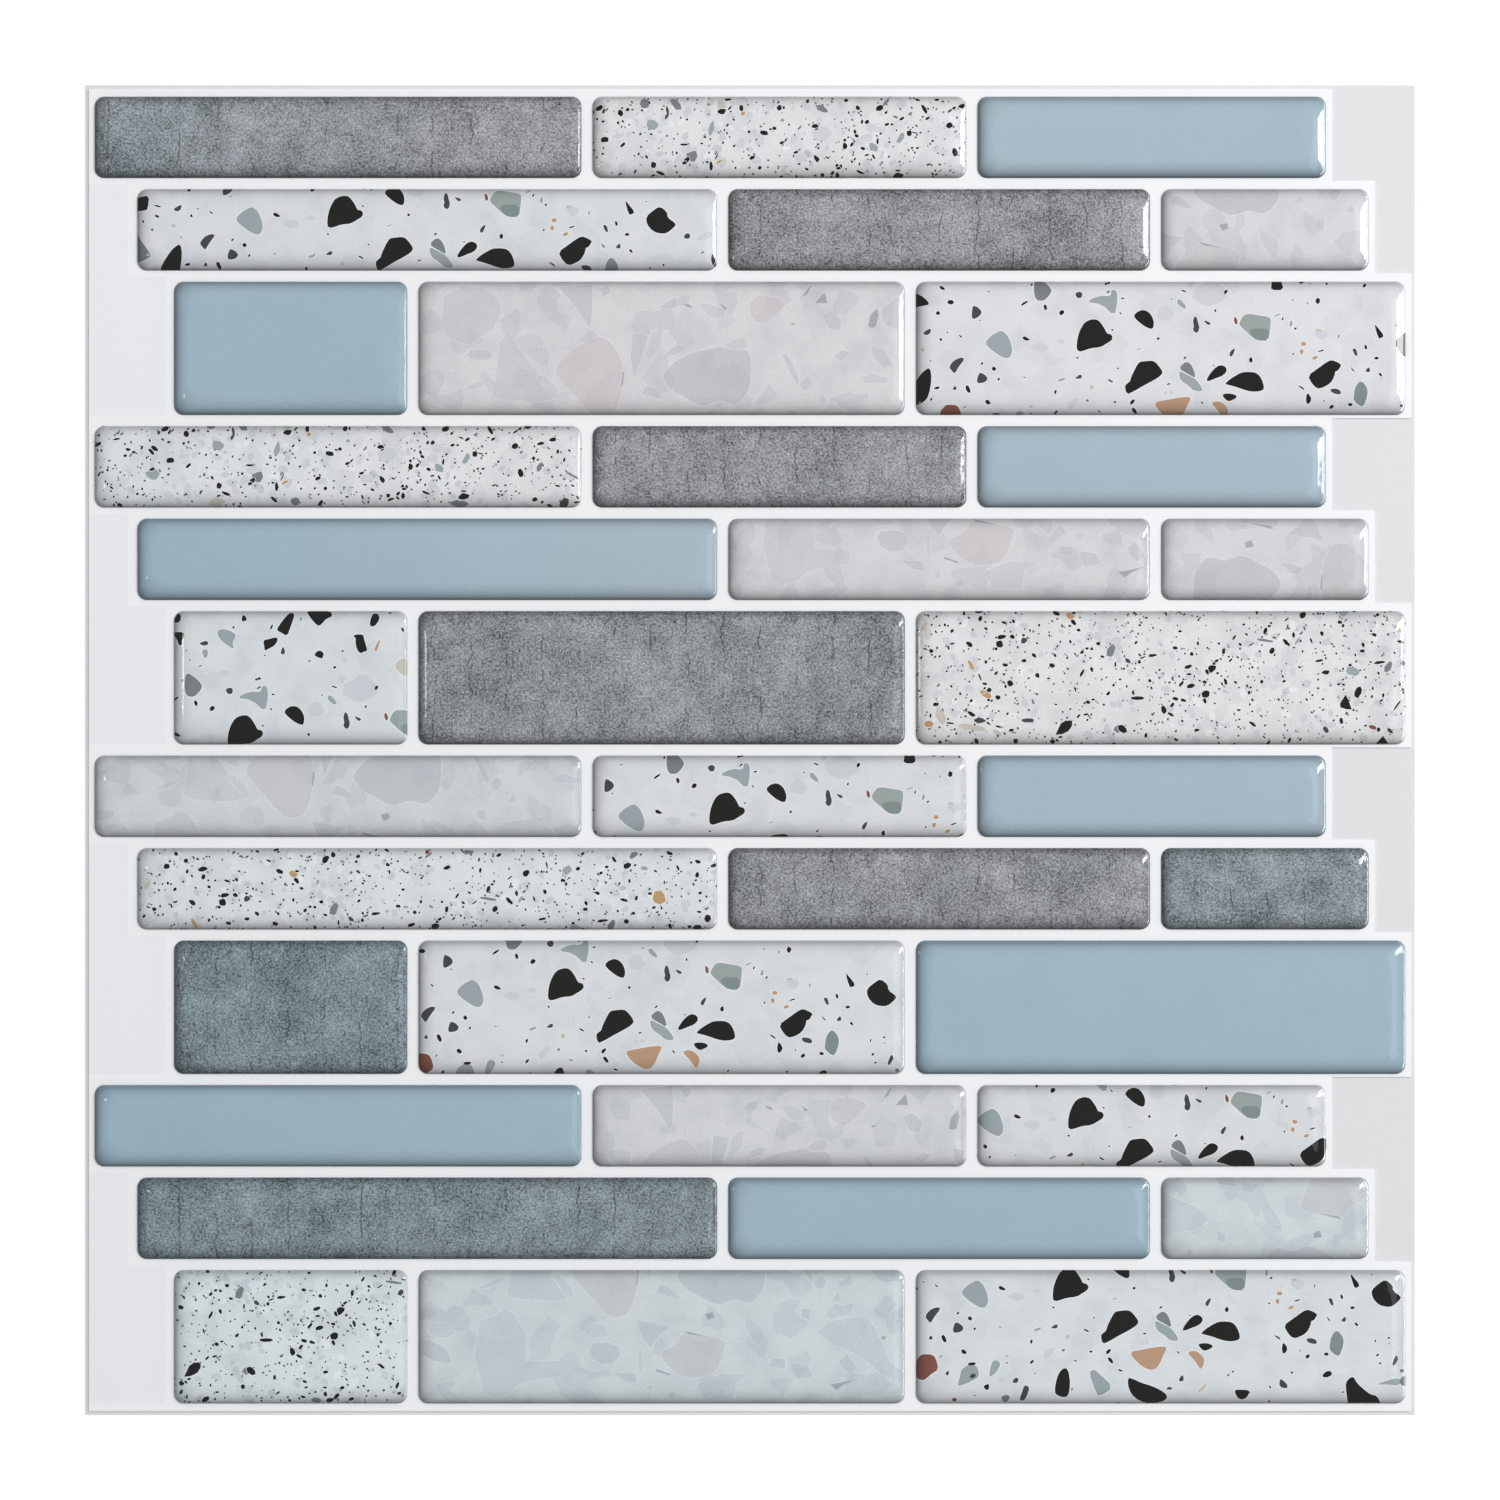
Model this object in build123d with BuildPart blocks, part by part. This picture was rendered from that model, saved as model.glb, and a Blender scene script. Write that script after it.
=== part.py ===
"""Peel and stick backsplash tile: a die-cut vinyl film that carries poured gel tiles, on its release liner.

The sheet lies face up. The origin is the centre of the liner's underside, +X runs along the rows to
the stepped edge, +Y runs to the top row, and +Z points out of the face. Sizes are in millimetres.

A course is three rows of three tiles, and the sheet repeats it from the top edge down. Every row is
as long as the pitch at which sheets join side by side, and the rows of a course are indented by
different amounts, so the film's right edge is stepped. That edge laps over the plain strip that the
indents leave on the left of the next sheet. The liner stays square, so it shows beside the steps.
"""

import os

from build123d import *

# The course pattern
course_count = 4
joining_pitch = 284.7
grout_gap = 2.5
narrow_row_height = 18.7
wide_row_height = 30.6

# Tile lengths. The right tile of each row is what the pitch leaves.
upper_left_length = 111.6
upper_middle_length = 85.7
middle_left_length = 132.9
middle_middle_length = 96.7
lower_left_length = 53.5
lower_middle_length = 111.5

# How far each row starts to the right of the upper one
middle_row_indent = 9.8
lower_row_indent = 18.2

# A gel tile: its foot is a low wall, and a crown arc rises from that to the level top
gel_height = 1.4
gel_wall_height = 0.85
crown_width = 3.2
tile_corner_radius = 2.2

# The film, which includes its adhesive, and the liner
film_thickness = 0.4
film_side_margin = 1.3
film_end_margin = 1.75
step_below_tile = 0.65
liner_thickness = 0.2
liner_lip = 0.9

row_length = joining_pitch - grout_gap
film_width = 2 * film_side_margin + lower_row_indent + row_length
course_height = 2 * narrow_row_height + wide_row_height + 3 * grout_gap
film_length = 2 * film_end_margin + course_count * course_height - grout_gap
film_top = liner_thickness + film_thickness

first_tile_x = film_side_margin - film_width / 2
first_tile_y = film_length / 2 - film_end_margin

# Each row of a course: its height, its indent and the lengths of its left and middle tiles
course_rows = [
    (narrow_row_height, 0.0, upper_left_length, upper_middle_length),
    (narrow_row_height, middle_row_indent, middle_left_length, middle_middle_length),
    (wide_row_height, lower_row_indent, lower_left_length, lower_middle_length),
]


def sheet_rows():
    """Yields each row's top edge in Y, its height, the X where its tiles start, and its tile lengths."""
    top = first_tile_y
    for _ in range(course_count):
        for height, indent, left_length, middle_length in course_rows:
            right_length = row_length - left_length - middle_length - 2 * grout_gap
            yield top, height, first_tile_x + indent, (left_length, middle_length, right_length)
            top -= height + grout_gap


def crown_section(span):
    """A crowned cross-section over the given span: a wall at each end, an arc up to the top, and the top."""
    with BuildSketch() as section:
        with BuildLine():
            top_end = span / 2 - crown_width
            Polyline((span / 2, gel_wall_height), (span / 2, 0), (-span / 2, 0), (-span / 2, gel_wall_height))
            TangentArc((-top_end, gel_height), (-span / 2, gel_wall_height), tangent=(-1, 0))
            Line((-top_end, gel_height), (top_end, gel_height))
            TangentArc((top_end, gel_height), (span / 2, gel_wall_height), tangent=(1, 0))
        make_face()
    return section.sketch


def film_outline():
    """The film's corners, clockwise from its top left one, down the stepped right edge."""
    left = -film_width / 2
    corners = [(left, film_length / 2)]
    edge_y = film_length / 2
    rows = list(sheet_rows())
    for number, (top, height, start_x, _) in enumerate(rows):
        right = start_x + row_length + film_side_margin
        last = number == len(rows) - 1
        next_edge_y = -film_length / 2 if last else top - height - step_below_tile
        corners += [(right, edge_y), (right, next_edge_y)]
        edge_y = next_edge_y
    corners.append((left, -film_length / 2))
    return corners


def save(name, builder):
    """Writes one finished piece."""
    builder.part.label = name
    export_step(builder.part, f"parts/{name}.step")


os.makedirs("parts", exist_ok=True)

# Release liner: one square sheet of coated paper, a little larger than the film all round
with BuildPart() as liner:
    with BuildSketch():
        Rectangle(film_width + 2 * liner_lip, film_length + 2 * liner_lip)
    extrude(amount=liner_thickness)
save("release_liner", liner)

# Vinyl film: die cut to the stepped outline
with BuildPart() as film:
    with BuildSketch(Plane.XY.offset(liner_thickness)):
        with BuildLine():
            Polyline(*film_outline(), close=True)
        make_face()
    extrude(amount=film_thickness)
save("vinyl_film", film)

# Gel tiles: one poured dome each, seated on the film and crowned along and across
for row_number, (top, height, start_x, lengths) in enumerate(sheet_rows(), start=1):
    tile_x = start_x
    for position, length in zip(("left", "middle", "right"), lengths):
        centre_x = tile_x + length / 2
        centre_y = top - height / 2
        with BuildPart() as gel:
            with BuildSketch(Plane.XY.offset(film_top)):
                with Locations((centre_x, centre_y)):
                    RectangleRounded(length, height, tile_corner_radius)
            extrude(amount=gel_height)
            with BuildSketch(Plane.XZ.offset(-centre_y)):
                with Locations((centre_x, film_top)):
                    add(crown_section(length))
            extrude(amount=height / 2, both=True, mode=Mode.INTERSECT)
            with BuildSketch(Plane.YZ.offset(centre_x)):
                with Locations((centre_y, film_top)):
                    add(crown_section(height))
            extrude(amount=length / 2, both=True, mode=Mode.INTERSECT)
        save(f"gel_row{row_number:02d}_{position}", gel)
        tile_x += length + grout_gap
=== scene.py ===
"""Peel and stick backsplash tile: the looks of its gel tiles, its vinyl film and its release liner.

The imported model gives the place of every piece. Each gel tile is replaced by a finer dome of the same
outline, whose print shows through a clear top. A print is drawn in millimetres from the lower left
corner of its master, and a tile shows the part of the master that its crop names. The scene's own
lengths are in metres.
"""

from __future__ import annotations

import logging
import math
import random
from dataclasses import dataclass, field
from enum import Enum
from itertools import pairwise
from typing import Any, Iterator, Union

import bmesh
import bpy
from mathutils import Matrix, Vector
from mathutils.geometry import delaunay_2d_cdt


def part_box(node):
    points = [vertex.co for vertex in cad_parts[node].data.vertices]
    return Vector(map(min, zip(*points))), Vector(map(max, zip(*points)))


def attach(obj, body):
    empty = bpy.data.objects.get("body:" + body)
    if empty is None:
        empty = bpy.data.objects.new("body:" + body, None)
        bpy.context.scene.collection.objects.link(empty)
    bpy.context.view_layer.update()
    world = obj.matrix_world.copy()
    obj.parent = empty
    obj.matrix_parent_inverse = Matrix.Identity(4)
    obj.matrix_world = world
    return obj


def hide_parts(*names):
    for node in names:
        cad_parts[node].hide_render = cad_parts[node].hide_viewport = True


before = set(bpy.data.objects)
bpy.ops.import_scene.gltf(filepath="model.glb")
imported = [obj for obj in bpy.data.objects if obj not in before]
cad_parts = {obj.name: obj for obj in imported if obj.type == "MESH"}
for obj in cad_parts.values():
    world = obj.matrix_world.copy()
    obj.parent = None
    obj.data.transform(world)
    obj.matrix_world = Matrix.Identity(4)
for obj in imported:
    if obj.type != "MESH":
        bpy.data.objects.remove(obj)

log = logging.getLogger("backsplash_tile")

MM = 0.001
BODY = "root"

Point = tuple[float, float]
Outline = tuple[Point, ...]
Colour = tuple[float, float, float, float]

# A small chip's centre across and up, its length and width, and its turn in degrees
Speck = tuple[float, float, float, float, float]


def srgb(red: float, green: float, blue: float, alpha: float = 1.0) -> Colour:
    """Turns an 8-bit screen colour into the linear colour that shows as it.

    Args:
        red: Red, from 0 to 255.
        green: Green, from 0 to 255.
        blue: Blue, from 0 to 255.
        alpha: Coverage, from 0 to 1.

    Returns:
        The linear colour with its coverage.
    """

    def linear(value: float) -> float:
        """One channel, made linear."""
        share = value / 255
        return share / 12.92 if share <= 0.04045 else ((share + 0.055) / 1.055) ** 2.4

    return linear(red), linear(green), linear(blue), alpha


WHITE: Colour = (1.0, 1.0, 1.0, 1.0)

# The inlay where a print has no chip
BARE = srgb(255, 255, 255, 0.0)


class Finish(Enum):
    """The prints of the sheet, each under the name of its finish."""

    SLATE = "slate_gel"
    TERRAZZO = "terrazzo_gel"
    SPECKLE = "speckle_gel"
    BLUE = "blue_gel"
    QUARTZ = "quartz_gel"


class Tone(Enum):
    """The colours of the chips in the prints, with how far each covers the ground."""

    BLACK = srgb(16, 16, 14)
    CHARCOAL = srgb(64, 67, 70)
    GREY = srgb(122, 126, 130)
    PALE_GREY = srgb(154, 163, 167)
    GREEN_GREY = srgb(152, 161, 160)
    SAGE = srgb(126, 139, 137)
    TAN = srgb(184, 149, 122)
    PALE_TAN = srgb(196, 190, 180)
    ORANGE = srgb(188, 152, 106)
    BROWN = srgb(128, 78, 66)
    HAZE = srgb(199, 202, 207, 0.75)
    HALO = srgb(236, 237, 239, 0.6)
    ROSE = srgb(200, 192, 196, 0.6)
    DUSK = srgb(186, 185, 191, 0.62)
    SHARD = srgb(190, 190, 196, 0.62)
    MIST = srgb(192, 193, 199, 0.45)
    SLIVER = srgb(158, 159, 166, 0.85)
    VEIN = srgb(224, 224, 227, 0.28)


@dataclass(frozen=True)
class Chip:
    """A flat chip in a print.

    Attributes:
        outline: Its corners in the print's millimetres.
        tone: Its colour.
    """

    outline: Outline
    tone: Tone

    def grown(self, amount: float, tone: Tone) -> Chip:
        """Makes the same chip with its edge moved outwards.

        Args:
            amount: How far out, in millimetres.
            tone: The colour of the larger chip.

        Returns:
            The larger chip.
        """
        points = counter_clockwise(self.outline)
        grown = []
        for before, here, after in zip(points[-1:] + points[:-1], points, points[1:] + points[:1]):
            along_in = (Vector(here) - Vector(before)).normalized()
            along_out = (Vector(after) - Vector(here)).normalized()
            outward = Vector((along_in.y + along_out.y, -along_in.x - along_out.x))
            outward.normalize()
            grown.append((here[0] + outward.x * amount, here[1] + outward.y * amount))
        return Chip(tuple(grown), tone)

    def eased(self) -> Chip:
        """Makes the same chip with each corner cut off, a quarter of the way along its edges."""
        near = 0.25
        eased = []
        for (x0, y0), (x1, y1) in zip(self.outline, self.outline[1:] + self.outline[:1]):
            for share in (near, 1 - near):
                eased.append(((1 - share) * x0 + share * x1, (1 - share) * y0 + share * y1))
        return Chip(tuple(eased), self.tone)


def counter_clockwise(points: Outline) -> Outline:
    """Returns the outline's points in counter-clockwise order."""
    area = sum(x0 * y1 - x1 * y0 for (x0, y0), (x1, y1) in zip(points, points[1:] + points[:1]))
    return points if area > 0 else tuple(reversed(points))


def pebble(x: float, y: float, length: float, width: float, turn: float, draw: random.Random) -> Outline:
    """Makes the uneven outline of a small chip.

    Args:
        x: Its centre.
        y: Its centre.
        length: Its longer measure, in millimetres.
        width: Its shorter measure, in millimetres.
        turn: The direction of its length, in degrees from +X.
        draw: Where its unevenness comes from.

    Returns:
        Its corners.
    """
    corners = 7
    spread = 0.25
    least, most = 0.82, 1.12
    heading = math.radians(turn)
    points = []
    for corner in range(corners):
        angle = math.tau * (corner + draw.uniform(-spread, spread)) / corners
        reach = draw.uniform(least, most) / 2
        along = length * reach * math.cos(angle)
        across = width * reach * math.sin(angle)
        points.append(
            (
                x + along * math.cos(heading) - across * math.sin(heading),
                y + along * math.sin(heading) + across * math.cos(heading),
            )
        )
    return tuple(points)


# The large chips of the terrazzo print
TERRAZZO_CHIPS: dict[Tone, tuple[Outline, ...]] = {
    Tone.HAZE: (
        ((65.0, 28.5), (67.5, 32.0), (72.0, 27.5), (68.0, 24.8), (65.2, 25.0)),
        ((121.3, 11.3), (121.5, 12.5), (124.8, 14.0), (124.9, 12.3)),
    ),
    Tone.BLACK: (
        ((-1.5, 28.5), (0.3, 27.7), (1.8, 26.9), (3.3, 25.2), (1.5, 24.9), (-1.5, 24.3)),
        ((-1.7, 4.9), (-0.5, 7.0), (0.5, 8.5), (1.6, 9.9), (3.2, 10.9), (3.6, 8.2), (2.9, 4.2),
         (1.8, 2.9), (0.3, 2.2), (-1.2, 2.0)),
        ((-8.0, 21.0), (-6.2, 21.6), (-4.0, 21.9), (-4.3, 18.9), (-4.8, 18.4), (-8.0, 18.3)),
        ((36.7, 14.9), (36.9, 17.5), (37.6, 19.6), (38.7, 21.3), (40.6, 21.9), (41.8, 21.6),
         (43.0, 20.0), (43.7, 18.5), (44.4, 18.5), (45.0, 17.9), (44.8, 17.0), (43.5, 16.2),
         (42.2, 15.4), (40.0, 15.2), (38.3, 14.6), (37.4, 14.4)),
        ((49.7, 22.6), (50.8, 23.7), (52.3, 24.0), (53.6, 23.2), (54.4, 21.6), (54.4, 20.1),
         (53.9, 19.5), (52.4, 20.1), (50.6, 21.5)),
        ((47.7, 6.6), (48.2, 4.6), (49.6, 5.2), (52.0, 6.6), (54.5, 7.9), (56.0, 8.9), (56.5, 9.8),
         (55.2, 11.6), (54.2, 12.4), (52.0, 12.2), (51.0, 12.0), (50.2, 10.7), (49.2, 8.6),
         (49.0, 7.7), (48.4, 7.2)),
        ((70.0, 4.6), (71.4, 4.9), (73.0, 4.6), (73.5, 4.0), (72.6, 3.4), (71.5, 3.0), (70.6, 3.6)),
        ((70.7, 7.1), (71.8, 8.1), (73.4, 9.1), (74.6, 9.7), (76.2, 9.8), (77.9, 9.6), (79.0, 8.4),
         (79.7, 6.3), (79.3, 5.5), (77.6, 5.2), (75.8, 5.4), (73.0, 6.4), (71.0, 6.9)),
        ((66.4, 7.9), (67.2, 9.3), (68.4, 10.7), (69.6, 11.4), (70.8, 11.0), (71.2, 10.1),
         (70.4, 9.0), (68.6, 8.3), (66.9, 7.6)),
        ((89.6, 8.9), (92.0, 10.6), (94.2, 12.2), (95.2, 12.5), (96.4, 12.0), (97.4, 11.4),
         (96.9, 10.6), (96.5, 10.0), (95.9, 9.9), (95.8, 8.9), (94.9, 7.2), (93.2, 6.2),
         (91.8, 5.9), (90.6, 7.0)),
        ((89.6, 5.1), (90.6, 3.6), (89.9, 2.4), (89.3, 2.6), (89.2, 4.0)),
        ((81.2, 28.5), (84.1, 28.5), (83.8, 30.5), (83.0, 31.5), (81.6, 31.0), (81.4, 30.0)),
        ((109.7, 17.0), (111.3, 18.4), (112.9, 19.4), (114.6, 18.0), (114.6, 16.8), (116.6, 15.4),
         (116.2, 14.6), (114.5, 13.2), (113.0, 13.1), (111.3, 13.6), (109.9, 15.2)),
        ((104.8, 20.9), (105.6, 20.0), (107.2, 18.0), (106.2, 17.4), (105.7, 17.6)),
        ((124.5, 7.5), (125.0, 9.0), (125.9, 6.0), (125.6, 5.5), (124.9, 6.0)),
        ((37.2, -6.5), (37.4, -4.5), (38.0, -2.3), (38.9, -1.1), (39.9, -0.8), (40.5, -2.0),
         (40.8, -4.6), (40.4, -7.2), (39.4, -7.7), (37.9, -7.2)),
        ((53.9, -3.1), (55.0, -3.3), (57.2, -4.3), (59.2, -4.9), (61.5, -5.9), (63.0, -7.1),
         (62.8, -8.3), (60.0, -9.2), (57.8, -9.0), (55.3, -7.6), (54.1, -5.6)),
        ((78.3, -5.9), (79.6, -5.8), (82.1, -6.0), (81.4, -7.4), (80.6, -8.1), (79.6, -8.1),
         (78.8, -7.3)),
        ((103.8, -4.3), (104.6, -3.2), (105.6, -2.8), (106.3, -4.2), (108.0, -5.8), (109.6, -7.0),
         (111.0, -7.2), (112.2, -9.6), (110.0, -11.0), (104.8, -10.5), (104.2, -8.0), (103.9, -6.0)),
        ((20.8, -5.1), (21.7, -4.5), (22.3, -4.7), (22.1, -5.8), (21.6, -6.0)),
        ((24.0, 43.3), (24.6, 44.5), (25.6, 45.3), (26.2, 44.5), (25.9, 43.2), (25.0, 42.9)),
        ((24.0, 40.7), (25.5, 40.9), (26.6, 40.8), (27.1, 40.0), (26.3, 38.9), (26.4, 38.0),
         (25.7, 37.7), (25.3, 39.0)),
        ((40.0, 43.3), (40.2, 44.8), (40.8, 44.6), (41.3, 43.8), (40.8, 43.3)),
        ((45.0, 38.9), (46.0, 39.2), (48.1, 39.7), (48.4, 39.0), (47.6, 37.7), (46.2, 37.0),
         (45.4, 36.5), (45.2, 37.6)),
        ((48.1, 41.5), (49.2, 43.2), (50.8, 45.2), (51.8, 45.3), (52.1, 44.5), (51.4, 42.3),
         (50.5, 39.9), (49.3, 40.6), (48.5, 41.0)),
        ((54.7, 45.8), (55.5, 44.5), (56.4, 43.3), (57.7, 42.1), (58.6, 42.9), (59.4, 43.9),
         (60.9, 44.4), (60.3, 45.8)),
        ((56.5, 35.6), (57.8, 36.8), (58.9, 36.1), (58.6, 34.7), (57.6, 35.0)),
        ((65.5, 39.8), (66.2, 40.3), (67.9, 40.3), (68.1, 39.2), (68.5, 38.0), (68.9, 36.5),
         (67.9, 36.3), (67.3, 35.9), (66.5, 36.7), (66.1, 38.2), (66.2, 39.6)),
        ((69.3, 42.4), (69.7, 44.5), (70.3, 45.2), (71.3, 45.0), (71.7, 43.9), (70.9, 42.6),
         (70.1, 42.0)),
        ((76.5, 42.1), (77.2, 41.6), (77.3, 40.9), (76.6, 41.0)),
        ((60.9, 32.7), (61.5, 33.2), (61.8, 32.7), (61.3, 32.4)),
    ),
    Tone.CHARCOAL: (
        ((12.9, 24.8), (13.5, 24.9), (14.6, 24.2), (15.1, 23.3), (14.4, 22.4), (13.1, 21.8),
         (12.7, 22.3)),
        ((1.6, 18.7), (2.2, 19.2), (3.4, 19.8), (3.4, 18.9), (2.8, 18.2), (1.9, 18.3)),
        ((7.5, 10.9), (8.6, 12.4), (10.2, 13.1), (11.2, 12.8), (9.8, 11.0), (8.8, 9.3), (8.3, 9.9)),
        ((14.5, 9.6), (15.4, 9.4), (16.5, 8.4), (15.9, 7.4), (14.1, 7.1), (13.9, 7.9), (14.2, 9.0)),
        ((8.2, 5.7), (9.0, 6.8), (9.4, 5.6)),
        ((36.1, 8.2), (37.8, 9.4), (38.0, 8.2)),
        ((63.7, 22.6), (64.3, 22.2), (64.6, 20.8), (64.9, 19.9), (64.5, 18.8), (63.9, 18.7),
         (63.3, 19.4), (63.6, 20.3), (63.3, 21.2)),
        ((65.6, 21.7), (67.6, 21.0), (66.9, 20.3)),
        ((73.1, 15.3), (72.7, 14.0), (72.1, 13.1), (71.6, 13.8), (72.1, 14.7)),
        ((87.2, 6.8), (88.6, 6.3), (89.0, 5.5), (88.2, 5.9)),
        ((94.8, 6.0), (96.6, 5.9), (97.3, 5.2), (97.0, 4.5), (95.0, 5.0)),
        ((99.8, 15.1), (100.7, 15.1), (101.1, 13.4), (100.5, 13.5), (100.1, 14.2)),
        ((99.4, 11.1), (100.5, 9.8), (100.0, 9.9), (99.6, 10.4)),
        ((102.6, 9.8), (103.7, 11.1), (104.0, 9.7)),
        ((118.3, 12.0), (118.6, 13.0), (119.5, 13.3), (119.9, 12.5), (119.5, 11.9)),
        ((30.2, 38.2), (31.8, 38.9), (32.4, 38.6), (32.4, 37.9), (31.3, 37.7)),
        ((49.5, 37.6), (50.0, 36.7), (49.9, 35.7), (49.1, 35.8), (49.0, 36.3)),
        ((12.0, -2.1), (13.1, -1.3), (12.9, -2.8)),
        ((27.4, -4.1), (28.2, -3.0), (28.9, -3.2), (28.9, -4.0), (28.3, -4.4)),
        ((29.2, -8.0), (29.8, -6.2), (30.3, -4.7), (31.5, -5.2), (31.0, -7.0), (30.4, -8.3),
         (29.5, -8.5)),
        ((62.5, -5.8), (63.5, -5.0), (64.4, -5.8)),
        ((65.6, -3.4), (66.5, -2.3), (66.8, -3.2), (66.6, -3.9), (65.8, -4.0)),
        ((88.7, -3.2), (89.9, -4.0), (90.6, -4.9), (90.3, -5.6), (88.6, -5.2)),
        ((114.4, -0.2), (115.0, 1.6), (115.5, 2.1), (115.9, 1.3), (115.4, 0.2), (114.8, -0.4)),
    ),
    Tone.GREY: (
        ((-8.0, 14.0), (-6.8, 13.3), (-5.9, 11.5), (-5.0, 10.4), (-3.8, 8.6), (-3.7, 7.9),
         (-4.6, 7.3), (-8.0, 6.0)),
        ((27.3, 31.7), (29.3, 30.6), (30.9, 29.0), (31.0, 28.0), (29.9, 26.6), (29.0, 26.0),
         (27.4, 26.2), (26.9, 28.5)),
        ((24.8, -7.5), (26.3, -6.9), (27.2, -7.6), (26.3, -8.8), (25.5, -8.8)),
        ((60.0, 10.6), (61.7, 12.2), (62.8, 11.7), (63.6, 10.2), (64.0, 8.3), (62.4, 9.2)),
        ((116.3, -3.2), (118.0, -2.5), (118.0, -5.2), (116.3, -4.8)),
    ),
    Tone.PALE_GREY: (
        ((15.7, 16.4), (17.0, 17.9), (18.8, 19.0), (19.7, 19.2), (20.9, 18.2), (21.7, 16.4),
         (22.1, 14.6), (21.5, 13.0), (20.3, 12.9), (18.6, 13.8), (17.0, 15.0)),
        ((38.8, 25.8), (42.0, 27.3), (44.5, 27.0), (44.7, 28.6), (46.0, 28.4), (46.1, 25.6),
         (45.4, 22.5), (42.5, 25.3)),
        ((22.2, -3.1), (22.4, -1.0), (23.1, 1.0), (25.1, 0.4), (23.8, -2.0)),
        ((60.0, 10.2), (60.5, 7.8), (62.4, 6.6), (63.6, 5.4), (65.6, 5.3), (65.3, 6.4), (63.9, 8.2),
         (62.3, 9.0)),
        ((59.5, 25.6), (60.2, 26.7), (62.0, 24.6), (61.3, 24.1)),
        ((85.3, 20.1), (85.6, 21.4), (86.1, 21.6), (86.1, 20.2)),
        ((45.0, -1.9), (46.2, -1.1), (47.6, -2.3), (50.7, -5.3), (47.5, -7.4), (46.8, -6.8)),
        ((110.7, -4.7), (113.0, -3.8), (116.2, -3.0), (116.4, -5.0), (113.0, -4.6)),
        ((34.3, 40.9), (35.5, 41.6), (37.5, 41.2), (39.0, 40.0), (37.9, 38.6), (38.4, 36.8),
         (36.5, 38.0), (35.0, 39.3)),
        ((30.9, 36.8), (32.4, 36.9), (32.3, 35.2), (31.5, 34.7)),
    ),
    Tone.GREEN_GREY: (
        ((74.0, 21.2), (75.0, 22.8), (76.2, 23.1), (78.5, 22.7), (81.0, 22.3), (81.2, 21.3),
         (81.0, 19.5), (80.6, 16.9), (78.2, 16.9), (76.8, 17.8), (75.2, 19.3), (74.0, 20.4)),
        ((14.9, -4.8), (15.5, -3.0), (15.8, -1.3), (16.9, -0.4), (18.5, 0.2), (19.6, -0.8),
         (20.0, -2.7), (18.5, -3.8), (15.6, -5.0)),
    ),
    Tone.SAGE: (
        ((76.2, 19.3), (77.5, 19.8), (80.9, 19.6), (80.6, 16.9), (78.2, 16.9), (76.9, 17.9)),
        ((100.1, 4.0), (100.5, 6.5), (101.8, 7.9), (103.2, 6.3), (103.4, 4.6), (102.4, 1.8),
         (101.4, 2.1), (100.2, 3.2)),
    ),
    Tone.BROWN: (
        ((5.4, 0.5), (6.6, 2.1), (7.4, 2.3), (9.2, 2.2), (10.0, 1.4), (10.7, -1.2), (9.0, -2.2),
         (8.0, -3.2), (7.1, -3.8), (5.4, -3.2)),
    ),
    Tone.TAN: (
        ((55.0, 1.5), (54.6, 2.9), (57.0, 3.3), (60.0, 3.9), (62.6, 4.1), (62.8, 3.4), (62.0, 1.9),
         (61.3, 0.1), (60.0, -1.5), (57.5, -0.8)),
        ((67.5, 2.6), (68.6, 3.1), (70.0, 2.9), (71.6, 1.3), (71.2, -0.5), (70.6, -1.3), (69.3, 0.8)),
        ((71.9, 39.3), (71.2, 38.6), (70.3, 36.6), (71.0, 36.3), (71.5, 37.8)),
    ),
    Tone.PALE_TAN: (
        ((75.0, 33.3), (75.9, 34.5), (77.8, 35.0), (78.6, 32.0), (77.8, 30.6), (75.9, 31.6)),
        ((69.8, -6.3), (71.5, -4.3), (72.2, -4.8), (70.6, -6.5)),
    ),
}

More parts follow.
